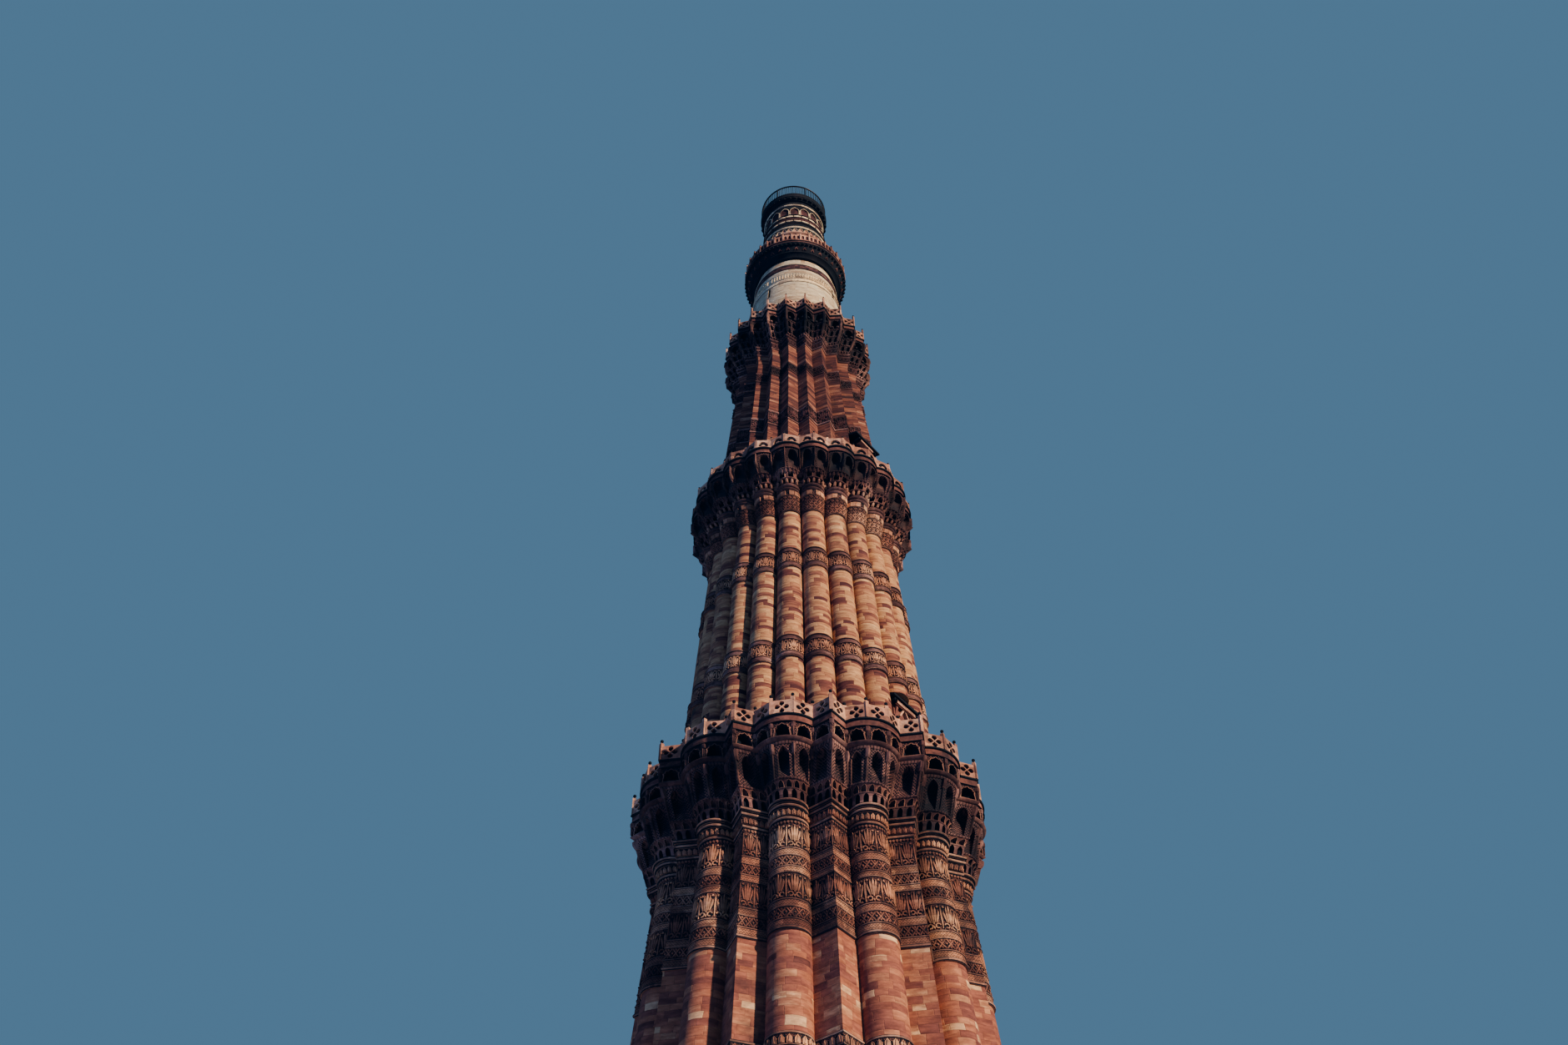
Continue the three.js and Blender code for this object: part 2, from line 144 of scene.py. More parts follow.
BANDS_1 = (5.3, 9.3, 13.4, 17.5)
BAND_2 = (
    (0.05, "plain", 0.06, 0.02), (0.03, "soot", 0.03, 0), (0.15, "dull", 0.05, 0),
    (0.04, "plain", 0.06, 0.02), (0.57, "scroll", 0.03, 0), (0.04, "plain", 0.06, 0.02),
    (0.14, "dull", 0.05, 0), (0.03, "soot", 0.03, 0), (0.05, "plain", 0.06, 0.02),
)
BANDS_2 = (33.5, 38.37)
CAPITAL_2 = (
    (0.06, "plain", 0.05, 0.02), (0.26, "lattice", 0.04, 0), (0.26, "lattice", 0.04, 0),
    (0.18, "rosettes", 0.04, 0), (0.04, "plain", 0.05, 0.02), (0.27, "blocks", 0.01, 0),
    (0.03, "soot", 0.02, 0), (0.10, "dull", 0.05, 0.04), (0.04, "soot", 0.03, 0),
    (0.11, "dull", 0.07, 0.05), (0.04, "soot", 0.05, 0),
)
BAND_3 = (
    (0.09, "dull", 0.04, 0.02), (0.22, "rosettes", 0.03, 0), (0.55, "scroll", 0.025, 0),
    (0.15, "dots", 0.03, 0), (0.09, "dull", 0.04, 0.02),
)
THIN_BAND_3 = (
    (0.08, "dull", 0.04, 0.02), (0.13, "dots", 0.03, 0), (0.42, "lattice", 0.03, 0),
    (0.10, "dull", 0.05, 0.02),
)
CAPITAL_3 = (
    (0.08, "dull", 0.04, 0.02), (0.28, "lattice", 0.03, 0), (0.08, "dull", 0.05, 0.03),
    (0.12, "petals", 0.05, 0), (0.08, "dull", 0.08, 0.03),
)
BAND_4 = (
    (0.04, "soot", 0.015, 0), (0.30, "pale", 0.01, 0), (0.06, "pale", 0.03, 0.02),
    (0.50, "petals", 0.02, 0), (0.06, "pale", 0.03, 0.02), (0.20, "marble", 0.01, 0),
)
COLLAR_4 = (
    (0.03, "soot", 0.02, 0), (0.38, "dark_tiles", 0.03, 0), (0.03, "soot", 0.02, 0),
    (0.06, "pale", 0.05, 0.02),
)
LEAF_BANDS_5 = (
    (0.04, "pale", 0.04, 0.02), (0.46, "soot", -0.02, 0), (0.06, "soot", 0.03, 0.02),
    (0.36, "soot", -0.01, 0), (0.24, "maroon", 0.0, 0), (0.05, "soot", 0.03, 0.02),
    (0.3, "soot", -0.01, 0),
)
HEAD_5 = ((0.14, "soot", -0.01, 0), (0.12, "pale", 0.02, 0.04), (0.3, "soot", 0.0, 0))

# Ornament that takes the light relief on the round flutes. On the angular flutes it takes a
# darker copy, partly their stain and partly painted shade
LEAVES = {"scroll", "petals", "blocks"}

# Bosses: outlines in a cell 2 wide and 1 high, and pairs of their size and how proud they stand
LEAF = ((-0.8, 0), (0.8, 0), (0.95, 0.4), (0.65, 0.78), (0, 1), (-0.65, 0.78), (-0.95, 0.4))
CRESCENT = tuple((-x, 1 - y) for x, y in LEAF)
CHEVRON = ((-0.48, 0), (-0.28, 0), (0, 0.66), (0.28, 0), (0.48, 0), (0.12, 1), (-0.12, 1))
BLOCK = ((-0.6, 0), (0.6, 0), (0.6, 1), (-0.6, 1))
STUD = ((-0.5, 0), (0.5, 0), (0.5, 0.75), (0, 1), (-0.5, 0.75))
LEAF_LEVELS = ((1, -0.03), (1, 0.012), (0.6, 0.025))
BRACKET_LEVELS = ((1, -0.05), (0.9, 0.05), (0.55, 0.1))
STUD_LEVELS = ((1, -0.04), (0.95, 0.04), (0.7, 0.055))

Niche = namedtuple("Niche", "half foot spring apex depth toe lobes rim", defaults=(0, 0.0))
Niche.__doc__ = """A niche in a cell that is 2 wide and 1 high. half is its half-width, depth is in
metres at the apex, and toe is the share of it at the foot. lobes scallop the arch, and rim stands
that proud round it."""

# The kinds of a niche's face, rim, reveal and back. A near-black reveal or back is painted shade
# in the hollow
STONE = ("rose", "plain", "soot", "soot")
PILLARS = ("dull", "dull", "soot", "soot")
ARCADE = ("rose", "plain", "net", "corbel")
NETTED = ("net", "plain", "net", "net")
SCALLOPED = ("net", "plain", "net", "soot")
HOLLOWED = ("net", "dull", "net", "corbel")
DARK = ("net", "dull", "soot", "soot")
PANELLED = ("plain", "buff", "corbel", "rose")
FRAMED = ("soot", "pale", "pale", "buff")
BLIND = ("soot", "pale", "maroon", "maroon")

# The outline of a whole panel, in shares of its width and height
SQUARE = ((0, 0), (1, 0), (1, 1), (0, 1))

# Balconies. Sets such as tips have a value for each form of bay, in turn. spread is the corbels'
# way towards the edge by height. Tiers: from, to, cells to a bay, niche, kinds and arch steps.
# Ledges: from, to, how proud and kind. Ribs: shares, pairs of height and how proud, width and kind.
# Bosses: from, to, cells to a bay, outline, levels and kind.
SLAB_THICKNESS = 0.3
PARAPET_OUT = 0.04
THIRDS = ((0, 1 / 3, 2 / 3), (0, 0.5))
HALVES = ((0, 0.5),)
BALCONY_1 = {
    "half_spans": (9.7, 5.3), "cusp": 5.6, "tips": (5.98, 6.09), "floor": 29.55, "cornice": 29.62,
    "spread": (
        (26.8, 0), (27.25, 0.15), (27.35, 0.3), (28.61, 0.8), (28.7, 0.93), (29.25, 0.96),
        (29.3, 1),
    ),
    "back": 0.55,
    "tiers": (
        (26.8, 27.14, (7, 6), Niche(0.6, 0.0, 0.55, 0.94, 0.2, 0.9), PILLARS, 5),
        (27.14, 27.4, (8, 6), Niche(0.7, 0.0, 0.3, 0.8, 0.1, 0.8, 0, 0.02), ARCADE, 5),
        (27.42, 28.5, (3, 2), Niche(0.54, 0.03, 0.68, 0.95, 0.5, 0.12), NETTED, 7),
        (28.72, 29.25, (3, 2), Niche(0.72, 0.05, 0.5, 0.93, 0.4, 1.0, 5, 0.02), SCALLOPED, 12),
    ),
    "ledges": (
        (27.12, 27.16, 0.03, "dull"), (27.38, 27.44, 0.05, "beaded"),
        (28.5, 28.6, 0.04, "beaded"), (28.6, 28.72, 0.09, "dull"),
    ),
    "ribs": (
        (THIRDS, ((28.72, 0.02), (28.78, 0.04), (29.1, 0.04)), 0.1, "net"),
        (THIRDS, ((28.74, 0.03), (28.8, 0.06), (29.08, 0.06)), 0.03, "dull"),
        (THIRDS, ((29.08, 0.05), (29.12, 0.08), (29.24, 0.08)), 0.15, "dull"),
        (THIRDS, ((27.45, 0.0), (27.55, 0.06), (28.22, 0.07)), 0.06, "corbel"),
        (THIRDS, ((28.2, 0.07), (28.26, 0.11), (28.36, 0.14), (28.5, 0.12)), 0.14, "dull"),
    ),
    "bosses": (),
    "posts": THIRDS, "post_tops": (30.24, 30.3), "post_width": 0.12,
    "holes": "quatrefoil", "panel_top": 30.17, "thickness": 0.08,
}
BALCONY_2 = {
    "half_spans": (7.5,), "cusp": 4.49, "tips": (4.69,), "floor": 45.15, "cornice": 45.24,
    "spread": ((43.2, 0), (43.75, 0.4), (43.85, 0.55), (44.29, 0.93), (44.85, 0.97), (44.9, 1)),
    "back": 0.5,
    "tiers": (
        (43.5, 43.82, (4,), Niche(0.62, 0.05, 0.45, 0.88, 0.2, 0.5, 0, 0.02), STONE, 5),
        (43.88, 44.85, (2,), Niche(0.64, 0.03, 0.66, 0.96, 0.45, 0.12), HOLLOWED, 7),
    ),
    "ledges": (
        (43.2, 43.24, 0.03, "dull"), (43.46, 43.5, 0.04, "dull"), (43.82, 43.88, 0.05, "beaded"),
    ),
    "ribs": (
        (HALVES, ((43.9, 0.02), (44.1, 0.08), (44.4, 0.1), (44.84, 0.1)), 0.04, "dull"),
        (HALVES, ((44.1, 0.08), (44.2, 0.13), (44.28, 0.13), (44.34, 0.08)), 0.1, "corbel"),
    ),
    "bosses": (
        (43.25, 43.45, (7,), STUD, STUD_LEVELS, "plain"),
        (43.68, 43.84, (9,), STUD, STUD_LEVELS, "dull"),
    ),
    "posts": HALVES, "post_tops": (45.84, 45.76), "post_width": 0.09,
    "holes": "lunette", "panel_top": 45.74, "thickness": 0.07,
}
BALCONY_3 = {
    "half_spans": (7.5,), "cusp": 3.25, "tips": (3.56,), "floor": 57.43, "cornice": 57.52,
    "spread": ((55.42, 0), (56.26, 0.8), (57.13, 0.97), (57.18, 1)),
    "back": 0.4,
    "tiers": (
        (55.62, 55.92, (4,), Niche(0.6, 0.05, 0.5, 0.92, 0.14, 0.7), DARK, 5),
        (55.97, 56.32, (4,), Niche(0.6, 0.05, 0.45, 0.92, 0.2, 0.4), DARK, 5),
        (56.38, 57.13, (2,), Niche(0.72, 0.03, 0.62, 0.96, 0.36, 0.12), DARK, 7),
    ),
    "ledges": (
        (55.42, 55.46, 0.02, "dull"), (55.57, 55.62, 0.03, "beaded"),
        (55.92, 55.97, 0.03, "beaded"), (56.32, 56.38, 0.05, "beaded"),
    ),
    "ribs": (
        (((0,),), ((56.0, 0.0), (56.4, 0.05), (57.0, 0.05), (57.12, 0.03)), 0.06, "dull"),
        (
            ((0.5,),),
            ((55.7, 0.0), (56.2, 0.08), (56.24, 0.12), (56.7, 0.12), (56.74, 0.16), (57.12, 0.1)),
            0.12, "corbel",
        ),
    ),
    "bosses": (
        (55.46, 55.57, (8,), STUD, STUD_LEVELS, "dull"),
        (56.4, 56.56, (4,), BLOCK, BRACKET_LEVELS, "corbel"),
    ),
    "posts": HALVES, "post_tops": (58.12, 58.36), "post_width": 0.08,
    "holes": "fretwork", "panel_top": 58.06, "thickness": 0.05,
}

# Stops are set as the stone looks in full sun, and its own colour is darker than that
STONE_SHADE = 0.62
SOOT = (0.011, 0.015, 0.023)
# Painted shade: the colour of carved grooves and of deep hollows
PAINTED_RECESS_SHADE = (0.005, 0.009, 0.015)
JOINT = 0.0132

# Stops of colour, from a stone's dark patches to its light ones
TONES = ((0.3, (0.62, 0.56, 0.58)), (0.5, (1.0, 1.0, 1.0)), (0.7, (1.22, 1.16, 1.10)))
CARVED_STOPS = ((0.3, (0.24, 0.10, 0.07)), (0.5, (0.44, 0.22, 0.15)), (0.68, (0.66, 0.42, 0.30)))
RELIEF_STOPS = (
    (0.3, (0.33, 0.135, 0.085)), (0.5, (0.61, 0.30, 0.18)), (0.68, (0.92, 0.56, 0.34)),
)
DULL_STOPS = ((0.3, (0.07, 0.032, 0.030)), (0.5, (0.20, 0.092, 0.080)), (0.7, (0.55, 0.31, 0.26)))
GROUND_STOPS = (
    (0.3, (0.075, 0.03, 0.032)), (0.5, (0.175, 0.073, 0.062)), (0.7, (0.34, 0.165, 0.125)),
)
DARK_GROUND_STOPS = (
    (0.3, (0.04, 0.018, 0.02)), (0.5, (0.10, 0.045, 0.042)), (0.7, (0.22, 0.11, 0.09)),
)
STRIP_STOPS = ((0.3, (0.26, 0.10, 0.07)), (0.5, (0.48, 0.225, 0.14)), (0.7, (0.76, 0.43, 0.26)))
# A darker copy of the relief for the angular flutes: partly stain, partly painted shade
STAIN_AND_SHADE_RELIEF_STOPS = (
    (0.3, (0.16, 0.06, 0.045)), (0.5, (0.36, 0.15, 0.10)), (0.7, (0.58, 0.32, 0.21)),
)
CORBEL_STOPS = (
    (0.3, (0.025, 0.016, 0.018)), (0.5, (0.11, 0.05, 0.042)), (0.66, (0.40, 0.21, 0.16)),
)
BUFF_STOPS = ((0.3, (0.36, 0.16, 0.11)), (0.5, (0.64, 0.34, 0.23)), (0.7, (0.96, 0.61, 0.42)))
ROSE_STOPS = ((0.3, (0.12, 0.05, 0.042)), (0.5, (0.24, 0.10, 0.08)), (0.7, (0.42, 0.195, 0.15)))
# Near-black stone: the dark stone of finials, hoods and bands, and painted shade in hollows, grooves,
# undersides and behind pierced panels
SOOT_AND_SHADE_STOPS = (
    (0.3, (0.006, 0.010, 0.018)), (0.5, (0.012, 0.015, 0.023)), (0.7, (0.05, 0.033, 0.036)),
)
MAROON_STOPS = ((0.3, (0.05, 0.02, 0.022)), (0.5, (0.11, 0.04, 0.04)), (0.7, (0.22, 0.09, 0.08)))
MARBLE_STOPS = ((0.1, (0.74, 0.53, 0.33)), (0.4, (0.95, 0.73, 0.46)), (0.8, (1.0, 0.86, 0.60)))
NET_STOPS = ((0.3, (0.06, 0.026, 0.026)), (0.5, (0.22, 0.093, 0.080)), (0.7, (0.60, 0.32, 0.27)))
IRON_STOPS = ((0.4, (0.018, 0.02, 0.024)), (0.75, (0.09, 0.055, 0.04)))
TILE_STONES = ((0.0, (0.03, 0.014, 0.018)), (0.6, (0.09, 0.034, 0.038)), (1.0, (0.26, 0.12, 0.10)))
RED_STONES = (
    (0.0, (0.20, 0.07, 0.058)), (0.2, (0.33, 0.115, 0.085)), (0.4, (0.45, 0.165, 0.11)),
    (0.6, (0.55, 0.21, 0.12)), (0.74, (0.64, 0.28, 0.16)), (0.84, (0.72, 0.37, 0.21)),
    (0.88, (0.92, 0.58, 0.34)),
)
GOLD_STONES = (
    (0.0, (0.15, 0.045, 0.042)), (0.16, (0.27, 0.09, 0.067)), (0.34, (0.53, 0.225, 0.125)),
    (0.55, (0.73, 0.375, 0.185)), (0.8, (0.81, 0.455, 0.23)), (1.0, (0.90, 0.555, 0.295)),
)
DARK_STONES = (
    (0.0, (0.06, 0.02, 0.023)), (0.3, (0.14, 0.045, 0.04)), (0.52, (0.27, 0.09, 0.06)),
    (0.74, (0.43, 0.175, 0.105)), (1.0, (0.64, 0.35, 0.22)),
)

# The photo's camera stands outside, level with a standing person's eyes
PHOTO_AZIMUTH = 37.5
PHOTO_DISTANCE = 38.522
EYE_HEIGHT = 1.6
PITCH = 48.74
YAW = -1.12
ROLL_ANGLE = -0.63
LENS = 30.85
FLOOR_RADIUS = 15.0
SKY_COLOUR = (0.092, 0.178, 0.272, 1)
# Suns: azimuth, elevation, strength, angle and colour
SUNS = {
    "key": (87.5, 22, 5.6, 2.5, (1.0, 0.86, 0.70)),
    "fill": (-10, -15, 0.7, 60, (0.14, 0.24, 1.0)),
    "back": (PHOTO_AZIMUTH + 180, 30, 1.8, 20, (1.0, 0.93, 0.86)),
}
# The photo's deepest shade is navy rather than black
SHADE_LIFT = (0.0, 0.003, 0.0085)


# Plan shapes

# The shares of a bay between which its length is measured
SHARES = np.linspace(0, 1, 25)


def radians(angle):
    return np.asarray(angle, float) * (math.pi / 180)


def plan_point(azimuth, out, along=0.0):
    """A plan point out from the axis, and along towards higher azimuths."""
    turn = radians(azimuth)
    return np.stack(
        [out * np.sin(turn) + along * np.cos(turn), along * np.sin(turn) - out * np.cos(turn)], -1
    )


def azimuth_of(plan):
    return math.degrees(math.atan2(plan[0], -plan[1]))


def raised(plan, height):
    """Points in space over plan points."""
    height = np.broadcast_to(height, plan.shape[:-1])
    return np.concatenate([plan, height[..., None]], -1)


def pairs(first, second):
    return np.stack(np.broadcast_arrays(first, second), -1)


def bay_points(form, azimuth, half_span, cusp, tip, share):
    """Plan points of one bay, at shares of the way from its first cusp to its last."""
    half = cusp * np.sin(radians(half_span))
    chord = cusp * np.cos(radians(half_span))
    rise = tip - chord
    if form == "angular":
        return plan_point(azimuth, chord + rise * (1 - abs(2 * share - 1)), half * (2 * share - 1))
    radius = (half * half + rise * rise) / (2 * rise)
    angle = 2 * np.arcsin(np.minimum(1, half / radius)) * (share - 0.5)
    return plan_point(azimuth, tip - radius + radius * np.cos(angle), radius * np.sin(angle))


def own(values, bay):
    """A bay's own value, where a few take turns round the tower."""
    return values[bay % len(values)]


class Shaft:
    """The outside of a storey, from pairs of height and radius: flutes, or a drum cut in bays."""

    def __init__(self, profile, forms=("drum",), bays=FLUTES):
        self.forms = forms
        self.bays = bays
        self.heights, self.radii = np.array(profile).T

    def form(self, bay):
        return own(self.forms, bay)

    def plan(self, bay, share, height, grow=0.0):
        tip = np.interp(height, self.heights, self.radii) + grow
        share = share + 0 * tip
        span = 360 / self.bays
        sine, cosine = np.sin(radians(span / 2)), np.cos(radians(span / 2))
        if self.form(bay) == "drum":
            return plan_point(bay * span + (share - 0.5) * span, tip)
        if self.form(bay) == "flat":
            return bay_points("angular", bay * span, span / 2, tip / cosine, tip, share)
        return bay_points(self.form(bay), bay * span, span / 2, tip / (cosine + sine), tip, share)


class Corbels:
    """The outside of a balcony, which spreads from the flutes below to the balcony's edge."""

    def __init__(self, shaft, balcony):
        self.shaft = shaft
        self.bays = shaft.bays
        self.form = shaft.form
        self.balcony = balcony
        self.heights, self.shares = np.array(balcony["spread"]).T

    def plan(self, bay, share, height, grow=0.0):
        spread = np.interp(height, self.heights, self.shares)[..., None]
        share = share + 0 * spread[..., 0]
        low = self.shaft.plan(bay, share, self.shaft.heights[-1])
        half_span, tip = (own(self.balcony[key], bay) for key in ("half_spans", "tips"))
        azimuth = bay * 360 / self.bays
        edge = bay_points(self.form(bay), azimuth, half_span, self.balcony["cusp"], tip, share)
        point = low + (edge - low) * spread
        length = np.linalg.norm(point, axis=-1, keepdims=True)
        return point * (1 + np.asarray(grow)[..., None] / length)


def place(surface, bay, share, height, grow=0.0):
    """Points in space on a surface."""
    return raised(surface.plan(bay, share, height, grow), height)


def outward(surface, bay, share, height):
    """The level direction that a surface faces at one place."""
    step = 0.02
    before, after = surface.plan(bay, np.array([share - step, share + step]), height)
    along = (after - before) / np.linalg.norm(after - before)
    return np.array([along[1], -along[0], 0])


# Meshes

class Piece:
    """A mesh in the making. Its map holds metres, or a pattern's own units, by face corner."""

    def __init__(self, name):
        self.name = name
        self.points = []
        self.count = 0
        self.faces = []
        self.corners = []
        self.kinds = []
        self.looks = []
        self.recess_shade_depth = []

    def add(self, points, faces, corners, kinds, recess_shade_depth=0.0):
        """Adds points, faces that index them, and a map point for each corner of each face."""
        points = np.asarray(points, float).reshape(-1, 3)
        self.points.append(points)
        self.recess_shade_depth.append(np.broadcast_to(recess_shade_depth, len(points)))
        self.faces += [tuple(self.count + index for index in face) for face in faces]
        self.count += len(points)
        self.corners += [pair for face in corners for pair in face]
        for kind in [kinds] * len(faces) if isinstance(kinds, str) else kinds:
            if kind not in self.kinds:
                self.kinds.append(kind)
            self.looks.append(self.kinds.index(kind))

    def loft(self, loops, charts, kinds, ends=None, hollow=False, recess_shade_depth=0.0):
        """Joins loops of equal length and fills the first and last. charts maps their points.

        kinds may have one kind for each loop. ends is a map of the filled loops' own. hollow turns
        the faces inwards and leaves the first loop open.
        """
        loops = np.asarray(loops, float)
        rows, count = loops.shape[:2]
        charts = np.broadcast_to(charts, (rows, count, 2)).reshape(-1, 2).tolist()
        faces = []
        for low in range(0, (rows - 1) * count, count):
            for index in range(count):
                after = (index + 1) % count
                a, b, c, d = low + index, low + after, low + count + after, low + count + index
                faces.append((a, d, c, b) if hollow else (a, b, c, d))
        corners = [[charts[index] for index in face] for face in faces]
        last = tuple(range((rows - 1) * count, rows * count))
        for face in [last[::-1]] if hollow else [tuple(range(count))[::-1], last]:
            faces.append(face)
            corners.append([charts[i] if ends is None else ends[i % count] for i in face])
        if not isinstance(kinds, str):
            kinds = [kind for kind in kinds[:-1] for _ in range(count)] + [kinds[-1]]
        self.add(loops, faces, corners, kinds, recess_shade_depth)

    def object(self):
        mesh = bpy.data.meshes.new(self.name)
        mesh.from_pydata((np.concatenate(self.points) * SCALE).tolist(), [], self.faces)
        layer = mesh.uv_layers.new(name="Unrolled")
        layer.data.foreach_set("uv", np.asarray(self.corners, np.float32).ravel())
        # How deep each point lies in a niche, which its material turns into painted shade
        recess_shade_depth = mesh.attributes.new("recess_shade_depth", "FLOAT", "POINT")
        recess_shade_depth.data.foreach_set("value", np.concatenate(self.recess_shade_depth).astype(np.float32))
        mesh.polygons.foreach_set("material_index", np.array(self.looks, np.int32))
        for kind in self.kinds:
            mesh.materials.append(MATERIALS[kind])
        made = bpy.data.objects.new(self.name, mesh)
        bpy.context.scene.collection.objects.link(made)
        return made

    def build(self, slot, *nodes, sharp=35, cutters=()):
        """Makes the object, which rides on the tower and stands for these CAD nodes."""
        made = self.object()
        for cutter in cutters:
            cut(made, cutter)
        made.data.shade_smooth()
        made.data.set_sharp_from_angle(angle=math.radians(sharp))
        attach(made, "root")
        if nodes:
            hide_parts(*nodes)
        return made


def cut(made, cutter):
    modifier = made.modifiers.new("cut", "BOOLEAN")
    modifier.operation = "DIFFERENCE"
    modifier.solver = "EXACT"
    modifier.object = cutter
    graph = bpy.context.evaluated_depsgraph_get()
    mesh = bpy.data.meshes.new_from_object(made.evaluated_get(graph))
    made.modifiers.clear()
    made.data = mesh


def columns_of(surface, start, end):
    """The bay and share of each column between two places, counted in bays from azimuth 0."""
    found = []
    for bay in range(math.floor(start + 0.5), math.ceil(end + 0.5)):
        count = FINE[surface.form(bay)]
        for step in range(count):
            if start <= bay - 0.5 + step / count <= end:
                found.append((bay, step / count))
    return found


def bay_run(surface, bay, height, grow):
    """The distance along a bay to each of the shares."""
    steps = np.diff(surface.plan(bay, SHARES, height, grow), axis=0)
    return np.concatenate([[0], np.cumsum(np.linalg.norm(steps, axis=1))])


def girths(surface, bay, share, heights, grows):
    """How far along each ring a share lies from the middle of its bay, in metres."""
    lengths = []
    for height, grow in zip(heights, grows, strict=True):
        run = bay_run(surface, bay, height, grow)
        lengths.append(np.interp(share, SHARES, run) - run[-1] / 2)
    return lengths


def rings_of(kind, *ring_pairs):
    """Rings of one kind, from pairs of height and how proud they stand."""
    return [(height, grow, kind) for height, grow in ring_pairs]


def skin(piece, surface, rings, span=None, loop=True, bore=0.0):
    """Wraps rings round a surface, all the way or over a span counted in bays.

    loop joins the last ring to the first, and without it both are filled.
    """
    start, end = span or (-0.5, surface.bays - 0.51)
    columns = columns_of(surface, start, end)
    across, tall = len(columns), len(rings)
    heights = np.array([height for height, _, _ in rings], float)
    grows = np.array([grow or 0.0 for _, grow, _ in rings], float)
    inner = np.array([grow is None for _, grow, _ in rings])
    grid = np.empty((tall, across, 3))
    for index, (bay, share) in enumerate(columns):
        line = place(surface, bay % surface.bays, share, heights, grows)
        line[inner, :2] *= bore / np.linalg.norm(line[inner, :2], axis=1, keepdims=True)
        grid[:, index] = line
    known = {}

    def girth(bay, share):
        key = surface.form(bay), share
        if key not in known:
            known[key] = girths(surface, bay % surface.bays, share, heights, grows)
        return known[key]

    faces, corners, kinds = [], [], []
    for index in range(across - 1 if span else across):
        beside = (index + 1) % across
        bay, share = columns[index]
        far_bay, far_share = columns[beside]
        left, right = girth(bay, share), girth(bay, far_share if far_bay == bay else 1.0)
        turn = bay * BAY_SHIFT
        for row in range(tall if loop else tall - 1):
            above = (row + 1) % tall
            spots = (
                (row, index, left), (row, beside, right), (above, beside, right), (above, index, left),
            )
            faces.append(tuple(line * across + column for line, column, _ in spots))
            corners.append([(side[line] + turn, heights[line]) for line, _, side in spots])
            kinds.append(rings[row][2])
    if span:
        for index, order in ((0, -1), (across - 1, 1)):
            rows = range(tall)[::order]
            faces.append(tuple(row * across + index for row in rows))
            corners.append([(np.linalg.norm(grid[row, index, :2]), heights[row]) for row in rows])
            kinds.append(rings[0][2])
    elif not loop:
        for row, order in ((0, -1), (tall - 1, 1)):
            ends = range(across)[::order]
            faces.append(tuple(row * across + index for index in ends))
            corners.append([tuple(grid[row, index, :2]) for index in ends])
            kinds.append(rings[row][2])
    piece.add(grid, faces, corners, kinds)


def arch_outline(niche, steps):
    """A pointed arch from its left foot over to its right, and the cell's edge beside it."""
    centre = 0.5 * niche.half
    turn = np.linspace(0, math.acos(1 / 3), steps + 1)
    x = centre - 3 * centre * np.cos(turn)
    y = np.sin(turn) / math.sin(turn[-1])
    if niche.lobes:
        pinch = 1 - 0.16 * abs(np.cos(np.linspace(0, niche.lobes * math.pi / 2, steps + 1)))
        x, y = x * pinch, y * pinch / pinch[-1]
    y = niche.spring + (niche.apex - niche.spring) * y
    inner = np.array([(-niche.half, niche.foot), *zip(x, y, strict=True)])
    index = np.arange(steps + 1)
    knee = steps // 2
    edge_x = np.interp(index, (0, knee, steps), (-1, -1, 0))
    edge_y = np.interp(index, (0, knee, steps), (niche.spring, 1, 1))
    outer = np.array([(-1, 0), *zip(edge_x, edge_y, strict=True)])
    return [np.concatenate([half, half[-2::-1] * (-1, 1)]) for half in (inner, outer)]


def around(surface, counts):
    """The bay, middle and half-width, in shares, of each cell of an even row."""
    for bay in range(surface.bays):
        count = own(counts, bay)
        for number in range(count):
            yield bay, (number + 0.5) / count, 0.5 / count


def tier(piece, surface, low, high, counts, niche, kinds, steps):
    """A row of niches right round a surface, with counts of them in each form of bay."""
    face, rim, reveal, back = kinds
    inner, outer = arch_outline(niche, steps)
    heart = np.array((0, niche.foot + 0.6 * (niche.apex - niche.foot)))
    flush = np.zeros(len(inner))
    rings = [(outer, flush, face)]
    if niche.rim:
        rings.append((heart + (inner - heart) * 1.2, flush, rim))
        rings.append((heart + (inner - heart) * 1.14, flush - niche.rim, rim))
    rings.append((inner, flush - niche.rim, reveal))
    for size in (1, 0.9, 0.65, 0.3):
        shape = heart + (inner - heart) * size
        rise = np.clip((shape[:, 1] - niche.foot) / (niche.apex - niche.foot), 0, 1)
        deep = niche.depth * (niche.toe + (1 - niche.toe) * rise)
        rings.append((shape, deep * (0.25 + 0.75 * math.sqrt(1 - size * size)), back))
    shapes, depths, looks = zip(*rings, strict=True)
    flat, depth = np.array(shapes), np.array(depths)
    heights = low + (high - low) * flat[..., 1]
    for bay, centre, half_share in around(surface, counts):
        normal = outward(surface, bay, centre, (low + high) / 2)
        points = place(surface, bay, centre + flat[..., 0] * half_share, heights)
        ends = surface.plan(bay, np.array([centre, centre + half_share]), low)
        chart = pairs(flat[..., 0] * np.linalg.norm(ends[1] - ends[0]), heights - low)
        # How deep each point lies, for the painted shade in the niche
        recess_shade_depth = np.clip(depth / 0.4, 0, 1).ravel()
        points = points - depth[..., None] * normal
        piece.loft(points, chart, looks, hollow=True, recess_shade_depth=recess_shade_depth)


def bosses(piece, surface, low, high, counts, outline, levels, kind):
    """A row of closed lumps, from an outline in shares of a cell 2 wide and 1 high.

    levels are pairs of the outline's size and how proud it stands, from the wall outwards.
    """
    outline = np.array(outline, float)
    heart = outline.mean(0)
    for bay, centre, half_share in around(surface, counts):
        normal = outward(surface, bay, centre, (low + high) / 2)
        loops = []
        for size, proud in levels:
            flat = heart + (outline - heart) * size
            heights = low + (high - low) * flat[:, 1]
            spots = place(surface, bay, centre + flat[:, 0] * half_share, heights)
            loops.append(spots + proud * normal)
        piece.loft(loops, outline, kind)


